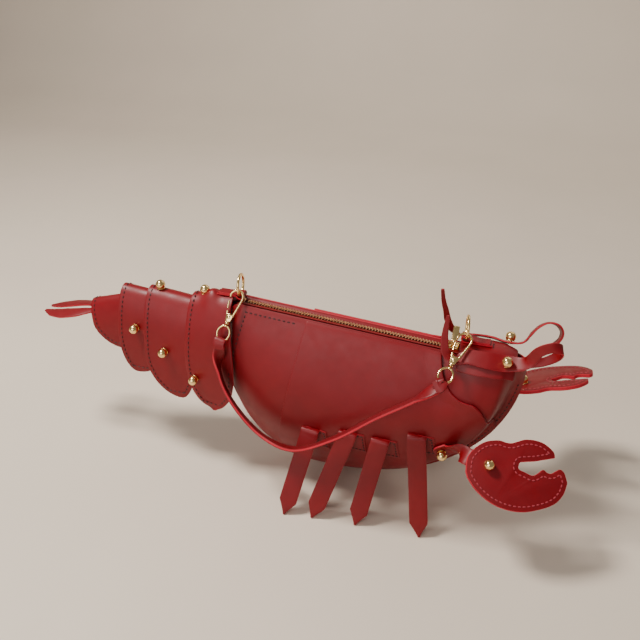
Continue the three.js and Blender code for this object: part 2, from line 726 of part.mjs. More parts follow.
// Stops of the feelers, from the tip, and of the eye loops, from the head.
const FEELERS = {
  front: [
    [V(92.7, -7.5, 175.5), V(0, -1, 0.1), 2.5],
    [V(92.2, -10, 167), V(0, -1, 0.1), 4],
    [V(92.4, -13.2, 158), V(0.1, -1, 0.3), 5.5],
    [V(95, -16.8, 148.5), V(0.1, -0.8, 0.5), 6.5],
    [V(102, -17, 145.2), V(0, -0.59, 0.807), 7],
  ],
  back: [
    [V(84.6, 13, 185.4), V(0, 1, 0.1), 2.5],
    [V(86.2, 14, 174.8), V(0, 1, 0.1), 3.5],
    [V(88.6, 15, 166.1), V(0, 1, 0.1), 4.5],
    [V(91, 16.4, 156.5), V(0.1, 1, 0.3), 5.5],
    [V(95.5, 17.4, 148), V(0.1, 0.8, 0.5), 6.5],
    [V(102, 17, 145.2), V(0, 0.59, 0.807), 7],
  ],
};
const EYE_LOOPS = {
  front: [
    [V(152, -15.6, 150.6), V(0, -0.62, 0.78), 9],
    [V(159.4, -17, 163), V(0.05, -0.88, 0.45), 7.5],
    [V(168, -17.5, 168.4), V(0.35, -0.88, 0.3), 7.5],
    [V(174, -15, 166), V(0.95, 0, 0.3), 7],
    [V(172, -11.5, 158), V(0.5, 0.75, -0.4), 7],
    [V(164, -10.5, 151), V(0, 0.85, -0.5), 6.5],
    [V(152.5, -9.8, 146), V(0, 0.85, -0.5), 6.5],
  ],
  back: [
    [V(149, 14.4, 149.2), V(-0.4, 0.45, 0.8), 9],
    [V(153, 15, 156.6), V(-0.763, 0.17, 0.619), 7],
    [V(158.3, 16, 164.2), V(-0.62, 0.286, 0.729), 6.5],
    [V(164.7, 16.5, 168), V(-0.19, 0.494, 0.848), 6.5],
    [V(170.9, 16.5, 166.6), V(0.472, 0.576, 0.661), 6.5],
    [V(174.3, 16, 161.6), V(0.94, 0.34, 0.085), 6.5],
    [V(173.6, 15, 155.8), V(0.914, 0.02, -0.4), 6.5],
    [V(169.5, 14, 150.5), V(0.82, -0.11, -0.56), 6.5],
  ],
};

for (const [label, side] of SIDES) {
  LEGS.forEach((leg, k) => {
    const top = onSide(side, leg.fold, leg.foldZ, overlayLift + gap + legThickness / 2 + 1.6);
    const tip = V(leg.tip, side * leg.reach, 0.55);
    const along = (share) => top.clone().lerp(tip, share);
    const face = V(0, side, 0.45).normalize();
    add(`leg_${label}_${k + 1}`, ribbon([
      [top, face, legWidth],
      [along(0.3), face, legWidth],
      [along(0.6), face, legWidth],
      [along(0.9), face, legWidth * 0.94],
      [tip, face, 1.4],
    ], legThickness, 10), RED);
  });

  const limb = ARMS[label];
  const armAxis = facingOut(side, limb.footX, limb.footZ);
  const armFoot = onSide(side, limb.footX, limb.footZ, overlayLift)
    .addScaledVector(armAxis, gap + leather / 2 + 0.4);
  const clawAxis = limb.clawAxis;
  const clawPlace = limb.claw;
  const armEnd = clawPlace.clone().addScaledVector(clawAxis, -(clawThickness / 2 + armGap + leather / 2));
  const along = armEnd.clone().sub(armFoot).projectOnPlane(armAxis).normalize();
  const onward = armEnd.clone().sub(armFoot).projectOnPlane(clawAxis).normalize();
  const arm = ribbon([
    [armFoot.clone().addScaledVector(along, -6), armAxis, armWidth * 0.8],
    [armFoot, armAxis, armWidth],
    [armFoot.clone().addScaledVector(along, 7), armAxis, armWidth],
    [armEnd.clone().addScaledVector(onward, -15), clawAxis, armWidth],
    [armEnd, clawAxis, armWidth],
    [armEnd.clone().addScaledVector(onward, 6), clawAxis, armWidth * 0.8],
  ], leather, 14);
  add(`arm_${label}`, cut(arm, hole(armFoot, armAxis), hole(armEnd, clawAxis)), RED);
  const foot = armFoot.clone().addScaledVector(armAxis, leather / 2 + gap);
  add(`arm_rivet_${label}`, rivet(foot, armAxis, 3 * leather + 2 * gap + overlayGap + 1.8), GOLD);

  // The claw's outline: u along the claw, v across it, from the rivet.
  const outline = [
    ...new THREE.SplineCurve([
      [-15, -8], [-15, 4], [-7, 15], [4, 20], [13.6, 20], [24.5, 25.4], [36, 26], [45, 21.5], [47, 17],
    ].map((p) => new THREE.Vector2(...p))).getPoints(20),
    ...[
      [34, 11.5], [22, 8], [21.5, 2.6], [27, 1.5], [32.5, 0], [36, 2.5], [39.7, 7], [43, 4.6], [46, 5],
      [51.7, 10], [55, 8],
    ].map((p) => new THREE.Vector2(...p)),
    ...new THREE.SplineCurve([
      [58, 1], [56, -8], [50, -16.5], [38, -23.5], [27.5, -27], [16, -27.6], [4.5, -25], [-6, -19],
      [-13, -12],
    ].map((p) => new THREE.Vector2(...p))).getPoints(18),
  ];
  const claw = extrude(outline, clawThickness).translate(0, 0, -clawThickness / 2);
  const clawAlong = limb.clawAlong.clone().projectOnPlane(clawAxis).normalize();
  const clawAcross = clawAxis.clone().cross(clawAlong).multiplyScalar(-side);
  const clawFace = clawAxis.clone().multiplyScalar(-side);
  const clawTurn = new THREE.Matrix4().makeBasis(clawAlong, clawAcross, clawFace);
  add(`claw_${label}`, cut(place(claw, clawTurn, clawPlace), hole(clawPlace, clawAxis)), RED);
  const clawTop = clawPlace.clone().addScaledVector(clawAxis, clawThickness / 2 + gap);
  add(`claw_rivet_${label}`, rivet(clawTop, clawAxis, clawThickness + leather + 2 * gap + armGap), GOLD);

  // Antenna: one strip riveted to the head, with the feeler towards the tail and the eye loop
  // beyond the head.
  const rivetPlace = headRivetPlace(side);
  const rivetAxis = headRivetAxis(side);
  const seat = (x) => capPoint(x, side * headRivetTurn).addScaledVector(rivetAxis, bandLift);
  const bandLift = gap + leather / 2 + 0.9;
  const antenna = ribbon([
    ...FEELERS[label],
    [seat(112), rivetAxis, 11],
    [seat(125), rivetAxis, 13],
    [seat(headRivetX), rivetAxis, 13],
    ...EYE_LOOPS[label],
  ], leather, 40);
  add(`antenna_${label}`, cut(antenna, hole(rivetPlace, rivetAxis, shankRadius + shankPlay, 14)), RED);
  const seatTop = rivetPlace.clone().addScaledVector(rivetAxis, bandLift + leather / 2 + gap);
  const headStack = bandLift + leather * 1.5 + gap;
  add(`head_rivet_${label}`, rivet(seatTop, rivetAxis, headStack, shankRadius), GOLD);
}

export default bag;
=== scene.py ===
"""A lobster-shaped leather clutch bag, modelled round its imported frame.

Shapes are worked out in millimetres and made in metres. +X runs towards the head, -Y is the side with the
strap, and +Z is up.
"""
import json
import math

import bpy
from mathutils import Matrix, Vector, noise


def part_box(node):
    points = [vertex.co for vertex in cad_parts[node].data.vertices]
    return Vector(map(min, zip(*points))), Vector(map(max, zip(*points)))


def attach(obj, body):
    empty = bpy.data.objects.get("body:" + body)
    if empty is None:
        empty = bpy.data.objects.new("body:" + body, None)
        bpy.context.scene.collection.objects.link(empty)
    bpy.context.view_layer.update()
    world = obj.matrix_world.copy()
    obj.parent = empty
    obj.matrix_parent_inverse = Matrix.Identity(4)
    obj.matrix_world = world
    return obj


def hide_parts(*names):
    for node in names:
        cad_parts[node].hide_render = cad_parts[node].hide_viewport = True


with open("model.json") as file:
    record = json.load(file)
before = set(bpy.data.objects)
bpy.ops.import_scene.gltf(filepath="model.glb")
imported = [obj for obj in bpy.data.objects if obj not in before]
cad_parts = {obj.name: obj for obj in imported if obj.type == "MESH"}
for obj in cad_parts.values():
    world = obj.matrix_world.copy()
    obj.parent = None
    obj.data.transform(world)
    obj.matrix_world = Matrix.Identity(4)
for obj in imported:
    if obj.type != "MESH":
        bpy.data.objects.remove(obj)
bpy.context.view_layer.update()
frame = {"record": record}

bl_info = {
    "name": "Lobster clutch bag",
    "version": (1, 0, 0),
    "blender": (4, 5, 0),
    "location": "3D View > Sidebar > Lobster bag",
    "description": "Builds the leather, hardware and stage of a lobster-shaped clutch bag",
    "category": "Add Mesh",
}

MM = 0.001
SIDES = (("front", -1), ("back", 1))
JOINTS = {joint["name"]: joint for joint in frame["record"]["behaviour"]["joints"]}

# Driving dimensions, in millimetres
LEATHER = 1.5
GAP = 0.4
REST_LENGTH = 20
TAIL_REACH = 84
TAIL_RISE = 112
HEAD_REACH = 144
HEAD_RISE = 135
RIM_HEIGHT = 151.6
RIM_FALL = 0.073
TAIL_DIP = 8
POUCH_HALF_WIDTH = 34
ZIP_HALF_OPENING = 6
HEAD_HALF_OPENING = 13
FLANGE_SHARE = 0.035
ZIP_TAIL_END = -69
ZIP_HEAD_END = 103
ZIP_DEPTH = 1.2
ZIP_PITCH = 2.4
SLIDER_X = 98
BALL_RADIUS = 4
RING_RADIUS = 8.5
RING_TUBE = 1.1
RING_YAW = math.radians(8)
TAB_WIDTH = 7
TAB_THICKNESS = 1.3
STRAP_WIDTH = 12
STRAP_THICKNESS = 2.6
LEG_WIDTH = 14.5
LEG_THICKNESS = 2
CLAW_THICKNESS = 3
ARM_WIDTH = 13
FIN_THICKNESS = 1.8
OVERLAY_GAP = 1.1
TAIL_X = -REST_LENGTH / 2 - TAIL_REACH
HEAD_X = REST_LENGTH / 2 + HEAD_REACH


class LobsterBagSettings(bpy.types.PropertyGroup):
    """Sizes and colours that a user would change."""

    leather_colour: bpy.props.FloatVectorProperty(
        name="Leather", description="Dyed face of the leather", size=3, min=0, max=1,
        default=(0.175, 0.0008, 0.0045), subtype="COLOR")
    edge_colour: bpy.props.FloatVectorProperty(
        name="Cut edge", description="Cut edges of the leather", size=3, min=0, max=1,
        default=(0.50, 0.012, 0.028), subtype="COLOR")
    thread_colour: bpy.props.FloatVectorProperty(
        name="Thread", description="Sewing thread on the pouch and tail", size=3, min=0, max=1,
        default=(0.03, 0.0004, 0.0015), subtype="COLOR")
    claw_thread_colour: bpy.props.FloatVectorProperty(
        name="Claw thread", description="Sewing thread on the claws", size=3, min=0, max=1,
        default=(0.34, 0.03, 0.045), subtype="COLOR")
    gold_colour: bpy.props.FloatVectorProperty(
        name="Gold", description="Plated rings, hooks and studs", size=3, min=0, max=1,
        default=(0.93, 0.66, 0.29), subtype="COLOR")
    zip_colour: bpy.props.FloatVectorProperty(
        name="Zip metal", description="Zip teeth and stops", size=3, min=0, max=1,
        default=(0.70, 0.40, 0.22), subtype="COLOR")
    floor_colour: bpy.props.FloatVectorProperty(
        name="Floor", description="Pale floor", size=3, min=0, max=1,
        default=(0.72, 0.61, 0.50), subtype="COLOR")
    stitch_length: bpy.props.FloatProperty(
        name="Stitch length", description="Length of one visible stitch", default=0.0024, unit="LENGTH")
    stitch_pitch: bpy.props.FloatProperty(
        name="Stitch pitch", description="Distance from one stitch to the next",
        default=0.0040, unit="LENGTH")
    stitch_inset: bpy.props.FloatProperty(
        name="Stitch inset", description="Distance from a cut edge to its row of stitches",
        default=0.0035, unit="LENGTH")
    dent_depth: bpy.props.FloatProperty(
        name="Dents", description="Depth of the soft dents in the pouch", default=0.0012, unit="LENGTH")
    lens: bpy.props.FloatProperty(
        name="Lens", description="Focal length of the camera", default=38.8, unit="CAMERA")


def settings():
    return bpy.context.scene.lobster_bag


# Small mathematics


def lerp(a, b, f):
    return a + (b - a) * f


def clamp(value, low=0.0, high=1.0):
    return max(low, min(high, value))


def smooth(value, low, high):
    f = clamp((value - low) / (high - low))
    return f * f * (3 - 2 * f)


def spline(points, u, even=False):
    """Catmull-Rom curve through points at u from 0 to 1, centripetal unless even."""
    last = len(points) - 1
    k = min(int(u * last), last - 1)
    f = u * last - k
    p1, p2 = points[k], points[k + 1]
    if even:
        p0 = points[max(k - 1, 0)]
        p3 = points[min(k + 2, last)]
        m1, m2 = (p2 - p0) / 2, (p3 - p1) / 2
    else:
        p0 = points[k - 1] if k > 0 else p1 * 2 - p2
        p3 = points[k + 2] if k + 2 <= last else p2 * 2 - p1
        d0, d1, d2 = (math.sqrt(max((b - a).length, 1e-6)) for a, b in ((p0, p1), (p1, p2), (p2, p3)))
        m1 = ((p1 - p0) / d0 - (p2 - p0) / (d0 + d1) + (p2 - p1) / d1) * d1
        m2 = ((p2 - p1) / d1 - (p3 - p1) / (d1 + d2) + (p3 - p2) / d2) * d1
    return (p1 * (2 * f**3 - 3 * f**2 + 1) + m1 * (f**3 - 2 * f**2 + f)
            + p2 * (3 * f**2 - 2 * f**3) + m2 * (f**3 - f**2))


def evenly(points, pitch):
    """Points every pitch along a polyline."""
    spots = []
    travelled = 0.0
    target = pitch / 2
    for a, b in zip(points, points[1:]):
        length = (b - a).length
        while length > 0 and travelled + length >= target:
            spots.append(a.lerp(b, (target - travelled) / length))
            target += pitch
        travelled += length
    return spots


# The pouch's shape


def along_seam(x):
    if x < -REST_LENGTH / 2:
        return min(1, (-REST_LENGTH / 2 - x) / TAIL_REACH)
    return clamp((x - REST_LENGTH / 2) / HEAD_REACH)


def seam_z(x):
    return (TAIL_RISE if x < 0 else HEAD_RISE) * (1 - math.sqrt(1 - along_seam(x) ** 2))


def rim_z(x):
    return RIM_HEIGHT - RIM_FALL * x - TAIL_DIP * smooth(-x, 73, 85)


def rim_half(x):
    half = lerp(ZIP_HALF_OPENING, HEAD_HALF_OPENING, smooth(x, ZIP_HEAD_END - 13, ZIP_HEAD_END + 22))
    round_end = max(0, (x - (HEAD_X - 24)) / 24)
    return half * math.sqrt(max(0, 1 - round_end**2))


def seam_distance(x, z):
    """Roughly how far a place on the side is from the bottom seam."""
    if x < -REST_LENGTH / 2:
        reach, rise, start = TAIL_REACH, TAIL_RISE, -REST_LENGTH / 2
    elif x > REST_LENGTH / 2:
        reach, rise, start = HEAD_REACH, HEAD_RISE, REST_LENGTH / 2
    else:
        return z
    out = abs(x - start)
    if z > rise:
        return reach - out
    ratio = math.hypot(out / reach, (rise - z) / rise)
    return (1 - ratio) * math.hypot(out, rise - z) / max(ratio, 0.05)


def half_width(x, z, lift=0.0):
    share = clamp((z - seam_z(x)) / (rim_z(x) - seam_z(x)))
    above = max(0, (share - FLANGE_SHARE) / (1 - FLANGE_SHARE))
    fullness = max(0, 1 - along_seam(x) ** 2) ** (0.5 if x < 0 else 0.36)
    bulge = max(0, math.sin(math.pi * above**0.8)) ** 0.85
    flange = smooth(seam_distance(x, z), 5, 17)
    dent = settings().dent_depth / MM * flange * bulge * (
        noise.noise(Vector((x / 45, z / 34, 3.1))) + 0.4 * noise.noise(Vector((x / 19, z / 24, 7.7))) - 0.35)
    wide = POUCH_HALF_WIDTH * fullness * bulge * flange + rim_half(x) * above**2
    return GAP / 2 + LEATHER + wide + min(0, dent) + lift


def on_side(side, x, z, lift=0.0):
    return Vector((x, side * half_width(x, z, lift), z))


def facing_out(side, x, z):
    slope_x = half_width(x + 1, z) - half_width(x - 1, z)
    slope_z = half_width(x, z + 1) - half_width(x, z - 1)
    return Vector((-slope_x / 2, side, -slope_z / 2)).normalized()


def seam_point(turn, inset):
    """A place near the bottom seam: turn runs from -90 degrees at the tail to 90 at the head."""
    if turn < 0:
        x = -REST_LENGTH / 2 + (TAIL_REACH - inset) * math.sin(turn)
        return x, TAIL_RISE - (TAIL_RISE - inset) * math.cos(turn)
    x = REST_LENGTH / 2 + (HEAD_REACH - inset) * math.sin(turn)
    return x, HEAD_RISE - (HEAD_RISE - inset) * math.cos(turn)


# Meshes


def select_only(piece):
    bpy.ops.object.select_all(action="DESELECT")
    piece.select_set(True)
    bpy.context.view_layer.objects.active = piece


def added(name):
    """The primitive that was just added, under its own name."""
    piece = bpy.context.object
    piece.name = name
    piece.data.name = name
    return piece


def clean(piece, merge=0.00001):
    """Merges doubled vertices and turns every face outwards."""
    select_only(piece)
    bpy.ops.object.mode_set(mode="EDIT")
    bpy.ops.mesh.select_all(action="SELECT")
    bpy.ops.mesh.remove_doubles(threshold=merge)
    bpy.ops.mesh.normals_make_consistent(inside=False)
    bpy.ops.object.mode_set(mode="OBJECT")
    return piece


def settle(piece):
    """Puts the piece's place into its mesh."""
    select_only(piece)
    bpy.ops.object.transform_apply(location=True, rotation=True, scale=True)
    return piece


def moulded(name, columns, rows, surface):
    """A grid whose vertices are moved onto a surface, a function of (u, v) in millimetres."""
    bpy.ops.object.select_all(action="DESELECT")
    bpy.ops.mesh.primitive_grid_add(x_subdivisions=columns, y_subdivisions=rows, size=1, location=(0, 0, 0))
    piece = added(name)
    for vertex in piece.data.vertices:
        vertex.co = surface(vertex.co.x + 0.5, vertex.co.y + 0.5) * MM
    piece.data.update()
    return piece


def apply_modifier(piece, kind, **values):
    select_only(piece)
    modifier = piece.modifiers.new(kind.title(), kind)
    for key, value in values.items():
        setattr(modifier, key, value)
    bpy.ops.object.modifier_apply(modifier=modifier.name)


def face_out(piece, outward):
    """Turns a sheet's faces to the side that outward points to, on the whole."""
    if sum(polygon.area * polygon.normal.dot(outward) for polygon in piece.data.polygons) < 0:
        select_only(piece)
        bpy.ops.object.mode_set(mode="EDIT")
        bpy.ops.mesh.select_all(action="SELECT")
        bpy.ops.mesh.flip_normals()
        bpy.ops.object.mode_set(mode="OBJECT")


def leather_ply(piece, outward, thickness=LEATHER, centred=False, round_edge=0.35, even=True):
    """Gives a moulded sheet its thickness, cut edges and slightly rounded corners."""
    face_out(piece, outward)
    select_only(piece)
    piece.data.materials.append(bpy.data.materials["Red leather"])
    piece.data.materials.append(bpy.data.materials["Cut leather edge"])
    apply_modifier(piece, "SOLIDIFY", thickness=thickness * MM, offset=0 if centred else -1,
                   use_even_offset=even, use_rim=True, material_offset_rim=1)
    apply_modifier(piece, "BEVEL", width=round_edge * MM, segments=2, limit_method="ANGLE",
                   angle_limit=math.radians(50), use_clamp_overlap=True, material=0)
    return piece


def finish_piece(piece, body, slot, *nodes, angle=35):
    select_only(piece)
    bpy.ops.object.shade_smooth_by_angle(angle=math.radians(angle))
    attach(piece, body)
    if nodes:
        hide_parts(*nodes)
    return piece


def painted(piece, material):
    piece.data.materials.clear()
    piece.data.materials.append(bpy.data.materials[material])
    return piece


def strip_frame(stops, v):
    """Centre, across and facing directions, and width, of a strip at v from 0 to 1."""
    last = len(stops) - 1
    k = min(int(v * last), last - 1)
    f = v * last - k
    points = [stop[0] for stop in stops]
    step = 0.0001
    tangent = (spline(points, min(1, v + step)) - spline(points, max(0, v - step))).normalized()
    across = stops[k][1].lerp(stops[k + 1][1], f).cross(tangent).normalized()
    width = lerp(stops[k][2], stops[k + 1][2], f)
    return spline(points, v), across, tangent.cross(across).normalized(), width


def strip(name, stops, thickness, steps, columns=4, width_at=None, cup=0.0, round_edge=0.35):
    """A leather strip along a curve: each stop is (point, direction that the strip faces, width)."""
    frames = {}

    def surface(u, v):
        key = round(v * steps)
        if key not in frames:
            frames[key] = strip_frame(stops, key / steps)
        centre, across, facing, width = frames[key]
        if width_at:
            width = width_at(key / steps, width)
        place = 2 * u - 1
        return centre + across * (place * width / 2) + facing * (-cup * (place**2 - 0.3))

    piece = moulded(name, columns, steps, surface)
    middle = strip_frame(stops, 0.5)[2]
    polygon = piece.data.polygons[len(piece.data.polygons) // 2]
    outward = middle if middle.dot(polygon.normal) > 0 else -middle
    return leather_ply(piece, outward, thickness, centred=True, round_edge=round_edge)


def tube(name, path, radius, steps, around=12, closed=False):
    """A round wire along a path function of u from 0 to 1, tapering to rounded ends."""
    frames = []
    last_side = Vector((0.3, 0.5, 0.8))
    for k in range(steps + 1):
        u = k / steps
        ahead, behind = (u + 0.001, u - 0.001) if closed else (min(1, u + 0.001), max(0, u - 0.001))
        tangent = (path(ahead) - path(behind)).normalized()
        side = (last_side - tangent * last_side.dot(tangent)).normalized()
        last_side = side
        frames.append((path(u), side, tangent.cross(side)))

    def surface(u, v):
        k = round(u * steps)
        centre, side, up = frames[k]
        size = radius(u) if callable(radius) else radius
        if not closed and k in (0, steps):
            size = 0
        turn = 2 * math.pi * v
        return centre + (side * math.cos(turn) + up * math.sin(turn)) * size

    return clean(moulded(name, steps, around, surface))


def lathe(name, profile, steps=32):
    """A turned piece about +Z: profile is a list of (radius, height) from end to end of the axis."""
    count = len(profile) - 1

    def surface(u, v):
        radius, height = profile[round(u * count)]
        turn = 2 * math.pi * v
        return Vector((radius * math.cos(turn), radius * math.sin(turn), height))

    return clean(moulded(name, count, steps, surface))


def block(name, centre, size, bevel=0.15, turn=None):
    """A box with rounded edges, turned about the origin afterwards if turn is given."""
    bpy.ops.object.select_all(action="DESELECT")
    bpy.ops.mesh.primitive_cube_add(size=1, location=Vector(centre) * MM, scale=Vector(size) * MM)
    piece = settle(added(name))
    bpy.ops.object.mode_set(mode="EDIT")
    bpy.ops.mesh.select_all(action="SELECT")
    bpy.ops.mesh.bevel(offset=bevel * MM, segments=2)
    bpy.ops.object.mode_set(mode="OBJECT")
    if turn:
        piece.data.transform(turn)
    return piece


def copied(model, name, matrix):
    piece = model.copy()
    piece.data = model.data.copy()
    piece.name = piece.data.name = name
    piece.data.transform(matrix)
    bpy.context.scene.collection.objects.link(piece)
    return piece


def joined(name, pieces):
    bpy.ops.object.select_all(action="DESELECT")
    for piece in pieces:
        piece.select_set(True)
    bpy.context.view_layer.objects.active = pieces[0]
    bpy.ops.object.join()
    return added(name)


def scattered(name, model, matrices):
    """One piece made of a copy of the model at each matrix."""
    corners = [vertex.co.copy() for vertex in model.data.vertices]
    faces = [tuple(polygon.vertices) for polygon in model.data.polygons]
    vertices, polygons = [], []
    for matrix in matrices:
        first = len(vertices)
        vertices.extend(matrix @ corner for corner in corners)
        polygons.extend(tuple(first + index for index in face) for face in faces)
    mesh = bpy.data.meshes.new(name)
    mesh.from_pydata(vertices, [], polygons)
    mesh.update()
    piece = bpy.data.objects.new(name, mesh)
    bpy.context.scene.collection.objects.link(piece)
    return piece


def basis(place, x, z):
    """A matrix in metres that puts an upright model at a place in millimetres."""
    x = (x - z * x.dot(z)).normalized()
    y = z.cross(x)
    matrix = Matrix((x, y, z)).transposed().to_4x4()
    matrix.translation = place * MM
    return matrix


def stitch_model():
    """One stitch: a short bead of thread whose ends dip into the leather."""
    bpy.ops.object.select_all(action="DESELECT")
    length = settings().stitch_length
    bpy.ops.mesh.primitive_uv_sphere_add(segments=6, ring_count=6, radius=1, location=(0, 0, 0),
                                         rotation=(0, math.pi / 2, 0), scale=(0.00045, 0.00055, length / 2))
    return settle(added("stitch model"))


def stitches(name, body, slot, path, thread="Red thread", pitch=None):
    """A row of stitches along a path of (point, outward normal) pairs."""
    model = stitch_model()
    matrices = []
    left = 0.0
    step = (pitch or settings().stitch_pitch) / MM
    for (a, normal), (b, _) in zip(path, path[1:]):
        length = (b - a).length
        while left <= length and length > 0:
            place = a.lerp(b, left / length)
            matrices.append(basis(place + normal * 0.12, b - a, normal))
            left += step
        left -= length
    piece = scattered(name, model, matrices)
    bpy.data.objects.remove(model)
    painted(piece, thread)
    return finish_piece(piece, body, slot)


def edge_row(surface, path, inset):
    """(point, normal) pairs that run inset inside the edge that path follows over surface(u, v).

    path is a list of ((u, v), (u, v) further inside)."""
    spots = []
    edge = [(surface(*at), surface(*inner)) for at, inner in path]
    for k, (point, inner) in enumerate(edge):
        ahead = edge[min(k + 1, len(edge) - 1)][0]
        behind = edge[max(k - 1, 0)][0]
        tangent = (ahead - behind).normalized()
        inward = inner - point
        inward = (inward - tangent * inward.dot(tangent)).normalized()
        spots.append((point + inward * inset, tangent, inward))
    return spots


# Materials


def new_group(name, inputs, outputs):
    group = bpy.data.node_groups.new(name, "ShaderNodeTree")
    for label, default in inputs:
        socket = group.interface.new_socket(label, in_out="INPUT", socket_type="NodeSocketFloat")
        socket.default_value = default
    for label in outputs:
        group.interface.new_socket(label, in_out="OUTPUT", socket_type="NodeSocketFloat")
    return group, group.nodes.new("NodeGroupInput"), group.nodes.new("NodeGroupOutput")


def math_node(tree, operation, a, b):
    node = tree.nodes.new("ShaderNodeMath")
    node.operation = operation
    for socket, value in zip(node.inputs, (a, b)):
        if isinstance(value, (int, float)):
            socket.default_value = value
        else:
            tree.links.new(value, socket)
    return node.outputs[0]


def scaled_coordinates(tree, scale):
    coordinates = tree.nodes.new("ShaderNodeTexCoord")
    mapping = tree.nodes.new("ShaderNodeVectorMath")
    mapping.operation = "SCALE"
    tree.links.new(coordinates.outputs["Object"], mapping.inputs[0])
    if isinstance(scale, (int, float)):
        mapping.inputs["Scale"].default_value = scale
    else:
        tree.links.new(scale, mapping.inputs["Scale"])
    return mapping.outputs[0]


def grain_group():
    """Leather grain: fine pebbles broken up by pores and soft creases."""
    group, inputs, outputs = new_group("Leather grain", [("Scale", 900.0)], ["Height", "Tone"])
    vector = scaled_coordinates(group, inputs.outputs["Scale"])
    pebbles = group.nodes.new("ShaderNodeTexVoronoi")
    pebbles.feature = "SMOOTH_F1"
    pebbles.inputs["Scale"].default_value = 1.0
    pebbles.inputs["Smoothness"].default_value = 0.5
    group.links.new(vector, pebbles.inputs["Vector"])
    pores = group.nodes.new("ShaderNodeTexNoise")
    pores.inputs["Scale"].default_value = 2.3
    pores.inputs["Detail"].default_value = 3.0
    group.links.new(vector, pores.inputs["Vector"])
    creases = group.nodes.new("ShaderNodeTexNoise")
    creases.inputs["Scale"].default_value = 0.11
    creases.inputs["Detail"].default_value = 5.0
    creases.inputs["Distortion"].default_value = 0.6
    group.links.new(vector, creases.inputs["Vector"])
    height = math_node(group, "MULTIPLY", pebbles.outputs["Distance"], 0.5)
    height = math_node(group, "ADD", height, math_node(group, "MULTIPLY", pores.outputs["Fac"], 0.5))
    height = math_node(group, "ADD", height, math_node(group, "MULTIPLY", creases.outputs["Fac"], 0.9))
    group.links.new(height, outputs.inputs["Height"])
    group.links.new(creases.outputs["Fac"], outputs.inputs["Tone"])


def drift_group():
    """Slow change over the surface: uneven dye, handling and dust."""
    group, inputs, outputs = new_group("Surface drift", [("Scale", 14.0)], ["Broad", "Fine"])
    vector = scaled_coordinates(group, inputs.outputs["Scale"])
    for label, scale, detail in (("Broad", 1.0, 3.0), ("Fine", 9.0, 6.0)):
        clouds = group.nodes.new("ShaderNodeTexNoise")
        clouds.inputs["Scale"].default_value = scale
        clouds.inputs["Detail"].default_value = detail
        group.links.new(vector, clouds.inputs["Vector"])
        group.links.new(clouds.outputs["Fac"], outputs.inputs[label])


def weave_group():
    """Woven cloth: two crossed sets of yarns."""
    group, inputs, outputs = new_group("Weave", [("Scale", 1600.0)], ["Height"])
    vector = scaled_coordinates(group, inputs.outputs["Scale"])
    heights = []
    for direction in ("X", "Z"):
        yarn = group.nodes.new("ShaderNodeTexWave")
        yarn.wave_type = "BANDS"
        yarn.bands_direction = direction
        yarn.inputs["Scale"].default_value = 1.0
        yarn.inputs["Distortion"].default_value = 0.6
        group.links.new(vector, yarn.inputs["Vector"])
        heights.append(yarn.outputs["Fac"])
    group.links.new(math_node(group, "MAXIMUM", *heights), outputs.inputs["Height"])


def new_material(name):
    material = bpy.data.materials.new(name)
    material.use_nodes = True
    return material.node_tree, material.node_tree.nodes["Principled BSDF"]


def place_group(tree, name, scale):
    node = tree.nodes.new("ShaderNodeGroup")
    node.node_tree = bpy.data.node_groups[name]
    node.inputs["Scale"].default_value = scale
    return node


def tinted(tree, shader, colour, factor, dark, light):
    """Links a colour that moves between two shades of itself as factor goes from 0.3 to 0.7."""
    ramp = tree.nodes.new("ShaderNodeValToRGB")
    for element, position, share in zip(ramp.color_ramp.elements, (0.3, 0.7), (dark, light)):
        element.position = position
        element.color = [min(1, channel * share) for channel in colour] + [1]
    tree.links.new(factor, ramp.inputs["Fac"])
    tree.links.new(ramp.outputs["Color"], shader.inputs["Base Color"])


def uneven(tree, shader, socket, factor, low, high):
    spread = tree.nodes.new("ShaderNodeMapRange")
    spread.inputs["From Min"].default_value = 0.3
    spread.inputs["From Max"].default_value = 0.7
    spread.inputs["To Min"].default_value = low
    spread.inputs["To Max"].default_value = high
    tree.links.new(factor, spread.inputs["Value"])
    tree.links.new(spread.outputs["Result"], shader.inputs[socket])


def bumped(tree, shader, height, strength, distance):
    bump = tree.nodes.new("ShaderNodeBump")
    bump.inputs["Strength"].default_value = strength
    bump.inputs["Distance"].default_value = distance
    tree.links.new(height, bump.inputs["Height"])
    tree.links.new(bump.outputs["Normal"], shader.inputs["Normal"])


def leather_material(name, colour, grain, strength, rough, coat):
    tree, shader = new_material(name)
    grain_node = place_group(tree, "Leather grain", grain)
    drift = place_group(tree, "Surface drift", 16)
    tone = math_node(tree, "ADD", math_node(tree, "MULTIPLY", drift.outputs["Broad"], 0.65),
                     math_node(tree, "MULTIPLY", grain_node.outputs["Tone"], 0.35))
    tinted(tree, shader, colour, tone, 0.86, 1.14)
    uneven(tree, shader, "Roughness", drift.outputs["Fine"], rough - 0.05, rough + 0.07)
    bumped(tree, shader, grain_node.outputs["Height"], strength, 0.00012)
    shader.inputs["Coat Weight"].default_value = coat
    shader.inputs["Coat Roughness"].default_value = 0.42
    shader.inputs["Specular IOR Level"].default_value = 0.3
    shader.inputs["Sheen Weight"].default_value = 0.02
    shader.inputs["Sheen Roughness"].default_value = 0.4
    shader.inputs["Sheen Tint"].default_value = (1.0, 0.55, 0.6, 1)


def thread_material(name, colour):
    tree, shader = new_material(name)
    drift = place_group(tree, "Surface drift", 300)
    tinted(tree, shader, colour, drift.outputs["Fine"], 0.8, 1.2)
    uneven(tree, shader, "Roughness", drift.outputs["Broad"], 0.5, 0.65)
    bumped(tree, shader, drift.outputs["Fine"], 0.5, 0.0001)


